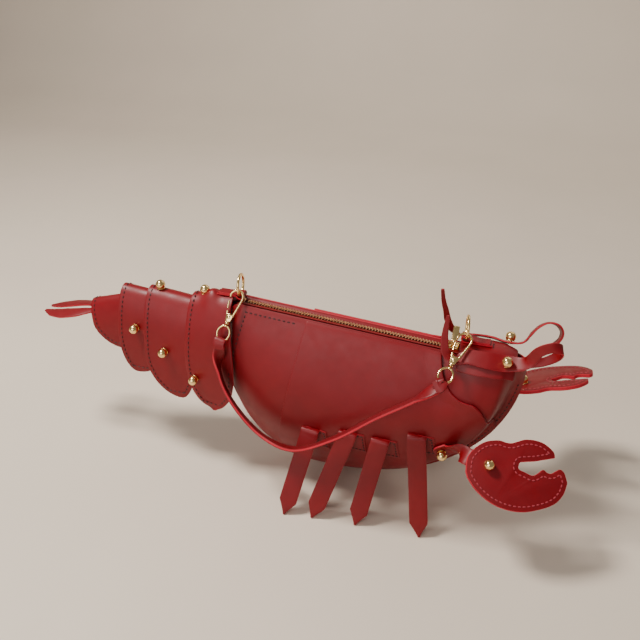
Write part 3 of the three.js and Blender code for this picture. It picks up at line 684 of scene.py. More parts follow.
def metal_material(name, colour, rough):
    tree, shader = new_material(name)
    drift = place_group(tree, "Surface drift", 90)
    tinted(tree, shader, colour, drift.outputs["Broad"], 0.94, 1.05)
    uneven(tree, shader, "Roughness", drift.outputs["Fine"], rough - 0.04, rough + 0.08)
    bumped(tree, shader, drift.outputs["Fine"], 0.05, 0.0001)
    shader.inputs["Metallic"].default_value = 1.0


def cloth_material(name, colour, scale):
    tree, shader = new_material(name)
    weave = place_group(tree, "Weave", scale)
    drift = place_group(tree, "Surface drift", 60)
    tinted(tree, shader, colour, drift.outputs["Fine"], 0.8, 1.2)
    uneven(tree, shader, "Roughness", drift.outputs["Broad"], 0.75, 0.88)
    bumped(tree, shader, weave.outputs["Height"], 0.5, 0.0002)


def floor_material(colour):
    tree, shader = new_material("Pale floor")
    drift = place_group(tree, "Surface drift", 5)
    tinted(tree, shader, colour, drift.outputs["Broad"], 0.975, 1.02)
    uneven(tree, shader, "Roughness", drift.outputs["Fine"], 0.55, 0.65)


class LOBSTER_OT_materials(bpy.types.Operator):
    """Make the leather, thread, metal and cloth finishes"""

    bl_idname = "lobster.materials"
    bl_label = "Finishes"

    def execute(self, context):
        values = settings()
        grain_group()
        drift_group()
        weave_group()
        leather_material("Red leather", values.leather_colour, 1150, 0.28, 0.44, 0.06)
        leather_material("Cut leather edge", values.edge_colour, 2600, 0.5, 0.55, 0.0)
        thread_material("Red thread", values.thread_colour)
        thread_material("Claw thread", values.claw_thread_colour)
        metal_material("Gold plate", values.gold_colour, 0.16)
        metal_material("Zip metal", values.zip_colour, 0.24)
        cloth_material("Lining cloth", (0.10, 0.008, 0.012), 1500)
        floor_material(values.floor_colour)
        return {"FINISHED"}


# Stage


class LOBSTER_OT_stage(bpy.types.Operator):
    """Make the pale floor, the soft lights and the camera"""

    bl_idname = "lobster.stage"
    bl_label = "Stage"

    def execute(self, context):
        scene = context.scene
        bpy.ops.object.select_all(action="DESELECT")
        azimuth, elevation = math.radians(17), math.radians(32)
        back = Vector((math.sin(azimuth) * math.cos(elevation), -math.cos(azimuth) * math.cos(elevation),
                       math.sin(elevation)))
        bpy.ops.object.camera_add(location=(0.1283, -0.444, 0.439))
        camera = context.object
        camera.rotation_euler = (-back).to_track_quat("-Z", "Y").to_euler()
        camera.data.lens = settings().lens
        camera.data.sensor_width = 36
        scene.camera = camera

        bpy.ops.mesh.primitive_grid_add(x_subdivisions=24, y_subdivisions=24, size=4, location=(0, 0, 0))
        floor = settle(added("floor"))
        back_start, bend = 0.9, 0.35
        for vertex in floor.data.vertices:
            over = vertex.co.y - back_start
            if over > 0:
                turn = min(math.pi / 2, over / bend)
                vertex.co.y = back_start + bend * math.sin(turn)
                vertex.co.z = bend * (1 - math.cos(turn)) + max(0, over - bend * math.pi / 2)
        painted(floor, "Pale floor")
        select_only(floor)
        bpy.ops.object.shade_smooth()

        target = Vector((0, 0, 0.08))
        lights = (
            ("key light", (-0.55, -0.1, 1.15), 0.26, 19.0, (1.0, 0.96, 0.90)),
            ("window fill", (-0.35, -1.25, 0.75), 0.9, 10.0, (1.0, 0.97, 0.94)),
            ("back fill", (0.4, 1.1, 0.9), 1.0, 3.0, (1.0, 0.98, 0.95)),
        )
        for name, place, size, power, colour in lights:
            bpy.ops.object.light_add(type="AREA", location=place)
            light = context.object
            light.name = name
            light.data.size = size
            light.data.energy = power
            light.data.color = colour
            light.rotation_euler = (target - light.location).to_track_quat("-Z", "Y").to_euler()
        world = bpy.data.worlds.new("Soft room")
        world.use_nodes = True
        world.node_tree.nodes["Background"].inputs["Color"].default_value = (0.86, 0.84, 0.80, 1)
        world.node_tree.nodes["Background"].inputs["Strength"].default_value = 0.27
        scene.world = world
        return {"FINISHED"}


# Pouch


def side_surface(side, lift=0.0):
    def surface(u, v):
        turn = lerp(-math.pi / 2, math.pi / 2, u)
        flat = REST_LENGTH / 2 / (TAIL_REACH + HEAD_REACH)
        if turn < 0:
            x = -REST_LENGTH / 2 * min(1, -turn / flat) + TAIL_REACH * math.sin(min(0, turn + flat))
        else:
            x = REST_LENGTH / 2 * min(1, turn / flat) + HEAD_REACH * math.sin(max(0, turn - flat))
        x = clamp(x, TAIL_X + 0.01, HEAD_X - 0.01)
        share = v**1.35
        return on_side(side, x, lerp(seam_z(x), rim_z(x), share), lift)

    return surface


class LOBSTER_OT_sides(bpy.types.Operator):
    """Make the pouch's two moulded sides with their sewn bottom seam"""

    bl_idname = "lobster.sides"
    bl_label = "Sides"

    def execute(self, context):
        for label, side in SIDES:
            panel = moulded(f"side_{label}", 150, 60, side_surface(side))
            leather_ply(panel, Vector((0, side, 0)))
            finish_piece(panel, "pouch", "leather", f"{label}_panel")
            seam = []
            for k in range(241):
                turn = lerp(-math.pi / 2 + 0.25, math.pi / 2 - 0.1, k / 240)
                x, z = seam_point(turn, settings().stitch_inset / MM)
                lift = 1.6 if -42 < x < 139 else 0
                seam.append((on_side(side, x, z, lift), facing_out(side, x, z)))
            stitches(f"seam_stitches_{label}", "pouch", "leather", seam)
            corner_x, fall_x, drop = -66, -78, 4.5
            row = [(x, rim_z(x) - drop) for x in range(-26, corner_x, -1)]
            row += [(lerp(corner_x, fall_x, k / 24), lerp(rim_z(corner_x) - drop, 104, k / 24))
                    for k in range(25)]
            path = [(on_side(side, x, z), facing_out(side, x, z)) for x, z in row]
            stitches(f"panel_stitches_{label}", "pouch", "leather", path)
        return {"FINISHED"}


OVERLAY_HEAD_EDGE = [Vector((x, share, 0)) for x, share in (
    (139, 0), (138, 0.12), (135, 0.33), (129, 0.56), (121, 0.69), (111, 0.73), (101, 0.8), (94, 0.9),
    (91, 1))]
OVERLAY_FIRST_SHARE = 0.012
SEWN_LIFT = LEATHER + 0.1


def overlay_right(share):
    low, high = 0.0, 1.0
    for _ in range(30):
        middle = (low + high) / 2
        if spline(OVERLAY_HEAD_EDGE, middle).y < share:
            low = middle
        else:
            high = middle
    return spline(OVERLAY_HEAD_EDGE, low).x


def overlay_surface(side):
    rights = {}

    def surface(u, v):
        share = lerp(OVERLAY_FIRST_SHARE, 1, v)
        key = round(share, 5)
        if key not in rights:
            rights[key] = overlay_right(share)
        x = lerp(lerp(-42, -15, share), rights[key], u)
        proud = lerp(SEWN_LIFT, OVERLAY_GAP + LEATHER, smooth(share, 0.05, 0.16))
        proud += 0.9 * smooth(u, 0.88, 1) * smooth(share, 0.3, 0.6)
        return on_side(side, x, lerp(seam_z(x), rim_z(x), share), proud)

    return surface


class LOBSTER_OT_overlays(bpy.types.Operator):
    """Make the second skin over each side"""

    bl_idname = "lobster.overlays"
    bl_label = "Overlays"

    def execute(self, context):
        for label, side in SIDES:
            overlay = moulded(f"overlay_{label}", 110, 60, overlay_surface(side))
            leather_ply(overlay, Vector((0, side, 0)))
            finish_piece(overlay, "pouch", "leather", f"{label}_overlay")
        return {"FINISHED"}


class LOBSTER_OT_lining(bpy.types.Operator):
    """Make the cloth lining inside the pouch"""

    bl_idname = "lobster.lining"
    bl_label = "Lining"

    def execute(self, context):
        def surface(u, v):
            x = lerp(TAIL_X + 20, HEAD_X - 20, u)
            side = -1 if v < 0.5 else 1
            share = abs(v - 0.5) * 2
            z = lerp(seam_z(x) + 9, rim_z(x) - 5, share)
            half = half_width(x, z, -LEATHER - 4)
            pleat = 0.5 * math.sin(x / 5) * math.sin(math.pi * share)
            return Vector((x, side * (half + pleat) * min(1, share * 4.01), z))

        lining = moulded("lining_cloth", 90, 48, surface)
        painted(lining, "Lining cloth")
        apply_modifier(lining, "SOLIDIFY", thickness=0.6 * MM, offset=0, use_rim=True)
        finish_piece(clean(lining), "pouch", "lining", "lining")
        return {"FINISHED"}


# Head cap

CAP_BASE = 126
CAP_TOP = 151
CAP_START = 103.5
CAP_END = HEAD_X - 8
CAP_TURN = math.radians(64)
FEELER_TURN = math.radians(36)


def cap_height(x):
    return CAP_TOP - 4.5 * max(0, (x - (CAP_END - 22)) / 22) ** 3


CAP_HALVES = {}


def cap_half(x):
    key = round(x, 3)
    if key not in CAP_HALVES:
        half = 0.0
        z = CAP_BASE
        while z <= rim_z(x):
            turn = math.acos(clamp(1 - (cap_height(x) - z) / (cap_height(x) - CAP_BASE)))
            half = max(half, half_width(x, z, LEATHER + GAP + 0.9) / math.sin(turn))
            z += 1
        CAP_HALVES[key] = half
    return CAP_HALVES[key]


def cap_point(x, turn, lift=0.0):
    rise = cap_height(x) - CAP_BASE
    height = cap_height(x) + lift - rise * (1 - math.cos(turn))
    return Vector((x, (cap_half(x) + lift) * math.sin(turn), height))


class LOBSTER_OT_head_cap(bpy.types.Operator):
    """Make the saddle over the head"""

    bl_idname = "lobster.head_cap"
    bl_label = "Head cap"

    def execute(self, context):
        def surface(u, v):
            return cap_point(lerp(CAP_START, CAP_END, u), (2 * v - 1) * CAP_TURN)

        cap = moulded("head_saddle", 36, 60, surface)
        leather_ply(cap, Vector((0, 0, 1)))
        finish_piece(cap, "pouch", "leather", "head_cap")
        return {"FINISHED"}


# Tail

TAIL_RIDGE = 156
SEGMENTS = (
    dict(name="4", body="pouch", left=-116.5, right=-80, left_lean=-2, right_lean=14, tip=-95,
         ridge=(0, 3.5), drop=93, half=(30, 33.5), bump=4.5, lobe=47, roundness=3),
    dict(name="3", body="tail_3", left=-156.6, right=-112, left_lean=0.2, right_lean=2, tip=-125,
         ridge=(0, -5), drop=92, half=(27, 27), bump=0, lobe=63),
    dict(name="2", body="tail_2", left=-181.9, right=-149, left_lean=-2.1, right_lean=14, tip=-168,
         ridge=(-2, -5.5), drop=74.3, half=(22, 22), bump=0, lobe=57.4),
    dict(name="1", body="tail_1", left=-215.4, right=-176, left_lean=9.6, right_lean=35.8, tip=-183.3,
         ridge=(-22, -10), drop=36.5, half=(16, 16), bump=0, lobe=57.6),
)


def segment_point(segment, turn, q, lift=0.0):
    angle = abs(turn)
    fall = 1 - math.cos(angle)
    lobe_start = math.radians(segment["lobe"])
    closing = max(0, (angle - lobe_start) / (math.pi / 2 - lobe_start))
    narrow = math.sqrt(max(0.01, 1 - closing ** segment.get("roundness", 2)))
    left = segment["left"] + segment["left_lean"] * fall
    right = segment["right"] + segment["right_lean"] * fall
    edge = lerp(left, right, q)
    x = segment["tip"] + (edge - segment["tip"]) * narrow
    low, high = segment["ridge"]
    ridge = TAIL_RIDGE + low + (high - low) * q * math.cos(angle)
    ridge += segment["bump"] * math.exp(-((x + 99) / 6.5) ** 2 - (angle / 0.32) ** 2)
    half = lerp(*segment["half"], q)
    normal = Vector((math.sin(angle) / half, math.cos(angle) / segment["drop"])).normalized()
    y = math.copysign(half * math.sin(angle) + lift * normal.x, turn)
    return Vector((x, y, ridge - segment["drop"] * fall + lift * normal.y))


def lobe_turn(segment, place):
    """The turn at a place from -1 to 1, with short steps where the lobes close."""
    start = math.radians(segment["lobe"])
    spread = 0.6
    if abs(place) < spread:
        return place / spread * start
    closing = math.sin((abs(place) - spread) / (1 - spread) * math.pi / 2)
    return math.copysign(start + (0.4999 * math.pi - start) * closing, place)


class LOBSTER_OT_tail(bpy.types.Operator):
    """Make the tail's four saddles and its two fins"""

    bl_idname = "lobster.tail"
    bl_label = "Tail"

    def execute(self, context):
        inset = settings().stitch_inset / MM
        for segment in SEGMENTS:
            def at(turn, q, segment=segment):
                return segment_point(segment, turn, q)

            def surface(u, v, segment=segment):
                return segment_point(segment, lobe_turn(segment, 2 * u - 1), v)

            saddle = moulded(f"tail_saddle_{segment['name']}", 160, 26, surface)
            leather_ply(saddle, Vector((0, 0, 1)), even=False)
            finish_piece(saddle, segment["body"], "leather", f"tail_segment_{segment['name']}")
            for label, side in SIDES:
                lobe = [(side * math.radians(lerp(2, 88.5, k / 90)), 0) for k in range(91)]
                lobe += [(side * math.radians(lerp(88.5, 66, k / 24)), 1) for k in range(25)]
                path = edge_row(at, [(spot, (spot[0], 0.5)) for spot in lobe], inset)
                row = []
                for point, tangent, inward in path:
                    normal = tangent.cross(inward)
                    if normal.y * side < 0 or (abs(normal.y) < 0.2 and normal.z < 0):
                        normal = -normal
                    row.append((point + normal * 0.1, normal))
                stitches(f"tail_stitches_{segment['name']}_{label}", segment["body"], "leather", row)
        for label, side in SIDES:
            face = Vector((0.1, side * 0.12, 0.98))
            stops = [
                (Vector((-204, side * 3.6, 126)), face, 5),
                (Vector((-217, side * 5.4, 124)), face, 6),
                (Vector((-230, side * 8.5, 121.5)), face, 11),
                (Vector((-244, side * 9, 118.5)), face, 13),
                (Vector((-257, side * 7, 116)), face, 9.5),
                (Vector((-266, side * 4.2, 114.8)), face, 2.5),
            ]
            fin = strip(f"fin_{label}", stops, FIN_THICKNESS, 60, columns=10, cup=0.5)
            finish_piece(fin, "tail_1", "leather", f"tail_fin_{label}")
        return {"FINISHED"}


# Rivets


def rivet_model():
    """A ball stud on a collar; it stands on z = 0 and its shank goes down."""
    profile = [(0, -2.6), (1.5, -2.6), (1.5, -0.1), (3.3, -0.1), (3.5, 0.15), (3.4, 0.6), (2.75, 0.8)]
    start = math.asin(-0.62)
    for k in range(15):
        angle = lerp(start, math.pi / 2, k / 14)
        profile.append((BALL_RADIUS * math.cos(angle), BALL_RADIUS * (0.8 + math.sin(angle))))
    profile[-1] = (0, BALL_RADIUS * 1.8)
    model = lathe("rivet model", profile, 36)
    return painted(model, "Gold plate")


def joint_spot(name):
    joint = JOINTS[name]
    return Vector(joint["pos_m"]) / MM, Vector(joint["axis"]).normalized()


class LOBSTER_OT_rivets(bpy.types.Operator):
    """Make the gold ball studs"""

    bl_idname = "lobster.rivets"
    bl_label = "Rivets"

    def execute(self, context):
        model = rivet_model()
        spots = []
        reach = BALL_RADIUS * 1.8
        for number, body in ((4, "pouch"), (3, "tail_3"), (2, "tail_2")):
            for label, side in SIDES:
                low, high = (Vector(corner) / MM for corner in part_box(f"tail_rivet_{number}_{label}"))
                outer = low.y if side < 0 else high.y
                place = Vector(((low.x + high.x) / 2, outer - side * reach, (low.z + high.z) / 2))
                spots.append((f"tail_rivet_{number}_{label}", body, place, Vector((0, side, 0))))
        for number, body in ((4, "pouch"), (3, "tail_3")):
            low, high = (Vector(corner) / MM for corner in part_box(f"ridge_rivet_{number}"))
            place = Vector(((low.x + high.x) / 2, 0, high.z - reach))
            spots.append((f"ridge_rivet_{number}", body, place, Vector((0, 0, 1))))
        band_lift = GAP + LEATHER / 2 + 0.9
        for label, side in SIDES:
            for kind, joint, body, lift in (
                ("arm", f"arm_{label}_turn", "pouch", LEATHER / 2 + GAP),
                ("claw", f"claw_{label}_turn", f"arm_{label}", CLAW_THICKNESS / 2 + GAP),
                ("head", f"antenna_{label}_turn", "pouch", band_lift + LEATHER / 2 + GAP),
            ):
                place, axis = joint_spot(joint)
                if kind != "arm" and axis.z < 0:
                    axis = -axis
                spots.append((f"{kind}_rivet_{label}", body, place + axis * lift, axis))
        for node, body, place, axis in spots:
            stud = copied(model, f"stud_{node}", basis(place, Vector((0.9, 0.3, 0.2)), axis))
            finish_piece(stud, body, "hardware", node, angle=50)
        bpy.data.objects.remove(model)
        return {"FINISHED"}


# Legs

LEGS = ((-3, 69, -17, 71), (28, 73, 6, 68), (54, 71, 42, 65), (82, 80, 94, 62))


class LOBSTER_OT_legs(bpy.types.Operator):
    """Make the eight legs and the sewn patches at their roots"""

    bl_idname = "lobster.legs"
    bl_label = "Legs"

    def execute(self, context):
        overlay_lift = OVERLAY_GAP + LEATHER
        for label, side in SIDES:
            for k, (fold, fold_z, tip_x, reach) in enumerate(LEGS, 1):
                lift = overlay_lift + GAP + LEG_THICKNESS / 2
                top = on_side(side, fold, fold_z, lift + 1.6)
                tip = Vector((tip_x, side * reach, 0.6))
                down = (tip - top).normalized()
                face = Vector((0, side, 0.45)).normalized()
                root = on_side(side, fold + 0.3, fold_z + 1.2, lift - 0.6)
                stops = [
                    (root, Vector((0, side * 0.25, 1)).normalized(), LEG_WIDTH),
                    (root.lerp(top, 0.75) + Vector((0, side * 1.2, 1.3)), Vector((0, side * 0.6, 0.8)),
                     LEG_WIDTH),
                    (top + down * 3 + Vector((0, side * 1.5, 0)), Vector((0, side, 0.6)).normalized(),
                     LEG_WIDTH),
                    (top.lerp(tip, 0.3), face, LEG_WIDTH),
                    (top.lerp(tip, 0.62), face, LEG_WIDTH),
                    (tip, face, LEG_WIDTH),
                ]
                length = (tip - top).length
                shoulder = 1 - LEG_WIDTH / 2 / (length * 1.15)

                def width_at(v, width, shoulder=shoulder):
                    return width * clamp((1 - v) / (1 - shoulder), 0.04, 1) if v > shoulder else width

                leg = strip(f"leg_{label}_{k}_strip", stops, LEG_THICKNESS, 96, columns=6, width_at=width_at,
                            cup=0.25, round_edge=0.5)
                finish_piece(leg, f"leg_{label}_{k}", "leather", f"leg_{label}_{k}")

                def patch_surface(u, v, side=side, fold=fold, fold_z=fold_z):
                    x = fold + lerp(-4, 13, u)
                    z = fold_z + lerp(-17, 2, v) - 0.12 * (x - fold)
                    x += lerp(2.5, 0, v)
                    return on_side(side, x, z, overlay_lift + 0.75)

                patch = moulded(f"root_patch_{label}_{k}", 14, 14, patch_surface)
                leather_ply(patch, Vector((0, side, 0)), 0.7, round_edge=0.2)
                finish_piece(patch, "pouch", "leather")
                row = []
                corners = ((0.12, 0.88), (0.88, 0.88), (0.88, 0.12), (0.12, 0.12))
                for (u0, v0), (u1, v1) in zip(corners, corners[1:]):
                    for step in range(12):
                        f = step / 12
                        point = patch_surface(lerp(u0, u1, f), lerp(v0, v1, f))
                        row.append((point, facing_out(side, point.x, point.z)))
                stitches(f"root_stitches_{label}_{k}", "pouch", "leather", row, pitch=0.0031)
        return {"FINISHED"}


# Claws and arms

CLAW_BACK = ((-15, -8), (-15, 4), (-7, 15), (4, 20), (13.6, 20), (24.5, 25.4), (36, 26), (45, 21.5), (47, 17))
CLAW_TEETH = ((34, 11.5), (22, 8), (21.5, 2.6), (27, 1.5), (32.5, 0), (36, 2.5), (39.7, 7), (43, 4.6),
              (46, 5), (51.7, 10), (55, 8))
CLAW_BELLY = ((58, 1), (56, -8), (50, -16.5), (38, -23.5), (27.5, -27), (16, -27.6), (4.5, -25), (-6, -19),
              (-13, -12))


def rounded(points, radius, steps=4):
    """An open polyline with its inner corners rounded."""
    result = [points[0]]
    for before, corner, after in zip(points, points[1:], points[2:]):
        reach = min(radius, (before - corner).length / 2.2, (after - corner).length / 2.2)
        a = corner + (before - corner).normalized() * reach
        b = corner + (after - corner).normalized() * reach
        for k in range(steps + 1):
            f = k / steps
            result.append(a * (1 - f) ** 2 + corner * (2 * f * (1 - f)) + b * f**2)
    result.append(points[-1])
    return result


def claw_outline():
    vectors = [[Vector((u, v, 0)) for u, v in part] for part in (CLAW_BACK, CLAW_TEETH, CLAW_BELLY)]
    back = [spline(vectors[0], k / 44, even=True) for k in range(45)]
    belly = [spline(vectors[2], k / 40, even=True) for k in range(41)]
    middle = rounded([back[-2], back[-1], *vectors[1], belly[0], belly[1]], 2.2)
    return [*back[:-2], *middle, *belly[2:]]


def slab_from(name, outline, low, high, bevel):
    """A flat plate cut to an outline and extruded from low to high along Z."""
    mesh = bpy.data.meshes.new(name)
    corners = [Vector((p.x, p.y, low)) * MM for p in outline]
    mesh.from_pydata(corners, [], [tuple(range(len(corners)))])
    plate = bpy.data.objects.new(name, mesh)
    bpy.context.scene.collection.objects.link(plate)
    plate.data.materials.append(bpy.data.materials["Red leather"])
    plate.data.materials.append(bpy.data.materials["Cut leather edge"])
    select_only(plate)
    bpy.ops.object.mode_set(mode="EDIT")
    bpy.ops.mesh.select_all(action="SELECT")
    bpy.ops.mesh.extrude_region_move(TRANSFORM_OT_translate={"value": (0, 0, (high - low) * MM)})
    bpy.ops.mesh.select_all(action="SELECT")
    bpy.ops.mesh.normals_make_consistent(inside=False)
    bpy.ops.object.mode_set(mode="OBJECT")
    for polygon in plate.data.polygons:
        polygon.material_index = 1 if abs(polygon.normal.z) < 0.5 else 0
    apply_modifier(plate, "BEVEL", width=bevel * MM, segments=2, limit_method="ANGLE",
                   angle_limit=math.radians(60), material=1)
    return plate


def inset_ring(points, inset):
    """A closed outline moved inwards, without the places where it folds over itself."""
    dense = evenly([*points, points[0]], 0.6)
    count = len(dense)
    area = sum(a.x * b.y - b.x * a.y for a, b in zip(dense, dense[1:] + dense[:1]))
    turn = 1 if area > 0 else -1
    moved = []
    for k, point in enumerate(dense):
        along = (dense[(k + 2) % count] - dense[k - 2]).normalized()
        moved.append(point + Vector((-along.y, along.x, 0)) * turn * inset)
    return [p for p in moved if min((p - q).length for q in dense) > inset * 0.93]


class LOBSTER_OT_claws(bpy.types.Operator):
    """Make the two arms and the two claws"""

    bl_idname = "lobster.claws"
    bl_label = "Claws"

    def execute(self, context):
        outline = claw_outline()
        inset = settings().stitch_inset / MM
        for label, side in SIDES:
            arm_foot, arm_axis = joint_spot(f"arm_{label}_turn")
            claw_place, claw_axis = joint_spot(f"claw_{label}_turn")
            under = CLAW_THICKNESS / 2 + 1.3 + LEATHER / 2
            arm_end = claw_place - claw_axis * under
            along = arm_end - arm_foot
            along = (along - arm_axis * along.dot(arm_axis)).normalized()
            onward = arm_end - arm_foot
            onward = (onward - claw_axis * onward.dot(claw_axis)).normalized()
            stops = [
                (arm_foot - along * 6, arm_axis, ARM_WIDTH * 0.8),
                (arm_foot, arm_axis, ARM_WIDTH),
                (arm_foot + along * 7, arm_axis, ARM_WIDTH),
                (arm_end - onward * 15, claw_axis, ARM_WIDTH),
                (arm_end, claw_axis, ARM_WIDTH),
                (arm_end + onward * 6, claw_axis, ARM_WIDTH * 0.8),
            ]

            def width_at(v, width):
                end = min(v, 1 - v) / 0.12
                return width if end >= 1 else max(2.0, width * math.sqrt(max(0, 1 - (1 - end) ** 2)))

            arm = strip(f"arm_{label}_strip", stops, LEATHER, 70, columns=6, width_at=width_at)
            finish_piece(arm, f"arm_{label}", "leather", f"arm_{label}")

            half = CLAW_THICKNESS / 2
            plies = [slab_from("upper ply", outline, 0.05, half, 0.3),
                     slab_from("under ply", outline, -half, -0.05, 0.3)]
            claw = joined(f"claw_{label}_plies", plies)
            claw_along = Vector((1, 0, 0)) if side < 0 else Vector((0.906, 0.387, 0.17))
            claw_along = (claw_along - claw_axis * claw_along.dot(claw_axis)).normalized()
            across = claw_axis.cross(claw_along) * -side
            turn = Matrix((claw_along, across, claw_axis)).transposed().to_4x4()
            turn.translation = claw_place * MM
            claw.data.transform(turn)
            clean(claw, 0.0000001)
            finish_piece(claw, f"claw_{label}", "leather", f"claw_{label}")
            ring = inset_ring(outline, inset)
            for face_name, face in (("upper", 1), ("under", -1)):
                row = []
                for point in [*ring, ring[0]]:
                    world = claw_place + claw_along * point.x + across * point.y + claw_axis * (face * half)
                    row.append((world, claw_axis * face))
                stitches(f"claw_stitches_{label}_{face_name}", f"claw_{label}", "leather", row, "Claw thread",
                         pitch=0.0034)
        return {"FINISHED"}


# Feelers

# Stops of the feelers, from the tip, and of the eye loops, from the head: place, facing and width
FEELERS = {
    "front": [
        ((92.7, -7.5, 175.5), (0, -1, 0.1), 2.5),
        ((92.2, -10, 167), (0, -1, 0.1), 4),
        ((92.4, -13.2, 158), (0.1, -1, 0.3), 5.5),
        ((95, -16.8, 148.5), (0.1, -0.8, 0.5), 6.5),
        ((102, -17, 145.2), (0, -0.59, 0.807), 7),
    ],
    "back": [
        ((84.6, 13, 185.4), (0, 1, 0.1), 2.5),
        ((86.2, 14, 174.8), (0, 1, 0.1), 3.5),
        ((88.6, 15, 166.1), (0, 1, 0.1), 4.5),
        ((91, 16.4, 156.5), (0.1, 1, 0.3), 5.5),
        ((95.5, 17.4, 148), (0.1, 0.8, 0.5), 6.5),
        ((102, 17, 145.2), (0, 0.59, 0.807), 7),
    ],
}
EYE_LOOPS = {
    "front": [
        ((152, -15.6, 150.6), (0, -0.62, 0.78), 9),
        ((159.4, -17, 163), (0.05, -0.88, 0.45), 7.5),
        ((168, -17.5, 168.4), (0.35, -0.88, 0.3), 7.5),
        ((174, -15, 166), (0.95, 0, 0.3), 7),
        ((172, -11.5, 158), (0.5, 0.75, -0.4), 7),
        ((164, -10.5, 151), (0, 0.85, -0.5), 6.5),
        ((152.5, -9.8, 146), (0, 0.85, -0.5), 6.5),
    ],
    "back": [
        ((149, 14.4, 149.2), (-0.4, 0.45, 0.8), 9),
        ((153, 15, 156.6), (-0.763, 0.17, 0.619), 7),
        ((158.3, 16, 164.2), (-0.62, 0.286, 0.729), 6.5),
        ((164.7, 16.5, 168), (-0.19, 0.494, 0.848), 6.5),
        ((170.9, 16.5, 166.6), (0.472, 0.576, 0.661), 6.5),
        ((174.3, 16, 161.6), (0.94, 0.34, 0.085), 6.5),
        ((173.6, 15, 155.8), (0.914, 0.02, -0.4), 6.5),
        ((169.5, 14, 150.5), (0.82, -0.11, -0.56), 6.5),
    ],
}


class LOBSTER_OT_feelers(bpy.types.Operator):
    """Make the two strips that are the feelers and the eye loops"""

    bl_idname = "lobster.feelers"
    bl_label = "Feelers"

    def execute(self, context):
        for label, side in SIDES:
            _, axis = joint_spot(f"antenna_{label}_turn")
            axis = axis if axis.z > 0 else -axis
            lift = GAP + LEATHER / 2 + 0.9

            def seat(x, side=side, axis=axis):
                return cap_point(x, side * FEELER_TURN) + axis * lift

            across_cap = [(seat(112), axis, 11), (seat(125), axis, 13), (seat(139), axis, 13)]
            stops = FEELERS[label] + across_cap + EYE_LOOPS[label]
            stops = [(Vector(place), Vector(face), width) for place, face, width in stops]
            feeler = strip(f"feeler_{label}_strip", stops, LEATHER, 220, columns=6)
            finish_piece(feeler, f"antenna_{label}", "leather", f"antenna_{label}")
        return {"FINISHED"}


# Rings, tabs, hooks and strap

HOOK_WIRE = 0.95
EYE_BAR = 39.1  # from the contact with the ring to the bar that the strap folds over
STRAP_END = 42.2  # from the contact with the ring to the band's end
CONTACT_TURN = math.radians(38)


def node_middle(node):
    low, high = (Vector(corner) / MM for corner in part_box(node))
    return (low + high) / 2


def hanger(label):
    """The hook's own axes: contact with its ring, across, away from the ring, and through its thickness."""
    centre = node_middle(f"ring_{label}")
    down, lean = (math.radians(55), -0.2) if label == "tail" else (math.radians(36), -0.3)
    line = (node_middle("ring_head") - node_middle("ring_tail")).normalized()
    contact = centre + Vector((0, -math.cos(CONTACT_TURN), -math.sin(CONTACT_TURN))) * RING_RADIUS
    away = Vector((lean, -math.cos(down), -math.sin(down))).normalized()
    across = (line - away * line.dot(away)).normalized()
    return contact, across, away, across.cross(away)


def hanger_matrix(label):
    contact, across, away, through = hanger(label)
    matrix = Matrix((across, away, through)).transposed().to_4x4()
    matrix.translation = contact * MM
    return matrix


def polyline(points):
    """A path function over a list of points, by their lengths."""
    lengths = [0.0]
    for a, b in zip(points, points[1:]):
        lengths.append(lengths[-1] + (b - a).length)

    def path(u):
        target = clamp(u) * lengths[-1]
        for k in range(len(points) - 1):
            if target <= lengths[k + 1] or k == len(points) - 2:
                return points[k].lerp(points[k + 1], (target - lengths[k]) / (lengths[k + 1] - lengths[k]))

    return path


class LOBSTER_OT_rings(bpy.types.Operator):
    """Make the two rings and the leather tabs that hold them"""

    bl_idname = "lobster.rings"
    bl_label = "Rings and tabs"

    def execute(self, context):
        for label, direction, top in (("tail", -1, TAIL_RIDGE + 3.5), ("head", 1, CAP_TOP)):
            centre = node_middle(f"ring_{label}")
            bpy.ops.object.select_all(action="DESELECT")
            bpy.ops.mesh.primitive_torus_add(
                major_radius=RING_RADIUS * MM, minor_radius=RING_TUBE * MM,
                major_segments=72, minor_segments=18,
                location=centre * MM, rotation=(0, math.pi / 2, RING_YAW))
            ring = settle(added(f"ring_{label}_wire"))
            painted(ring, "Gold plate")
            finish_piece(ring, "pouch", "hardware", f"ring_{label}", angle=60)

            eye = Vector((centre.x, 0, centre.z - RING_RADIUS))
            radius = RING_TUBE + 1.3 + TAB_THICKNESS / 2
            low = top + GAP + TAB_THICKNESS / 2
            points = [Vector((centre.x + direction * out, 0, low)) for out in (20, 12)]
            start = math.asin(clamp((low - eye.z) / radius, -1, 0.9)) if low < eye.z else -0.2
            for k in range(13):
                angle = lerp(start, -math.pi * 1.15, k / 12)
                points.append(eye + Vector((direction * math.cos(angle), 0, math.sin(angle))) * radius)
            points.append(Vector((centre.x + direction * 9, 0, low + TAB_THICKNESS + 0.1)))
            points.append(Vector((centre.x + direction * 18, 0, low + TAB_THICKNESS + 0.05)))
            stops = []
            for k, point in enumerate(points):
                ahead = points[min(k + 1, len(points) - 1)]
                behind = points[max(k - 1, 0)]
                facing = (ahead - behind).cross(Vector((0, 1, 0))).normalized()
                stops.append((point, facing, TAB_WIDTH))
            tab = strip(f"tab_{label}_loop", stops, TAB_THICKNESS, 120, columns=4)
            finish_piece(tab, "pouch", "leather", f"tab_{label}")
        return {"FINISHED"}


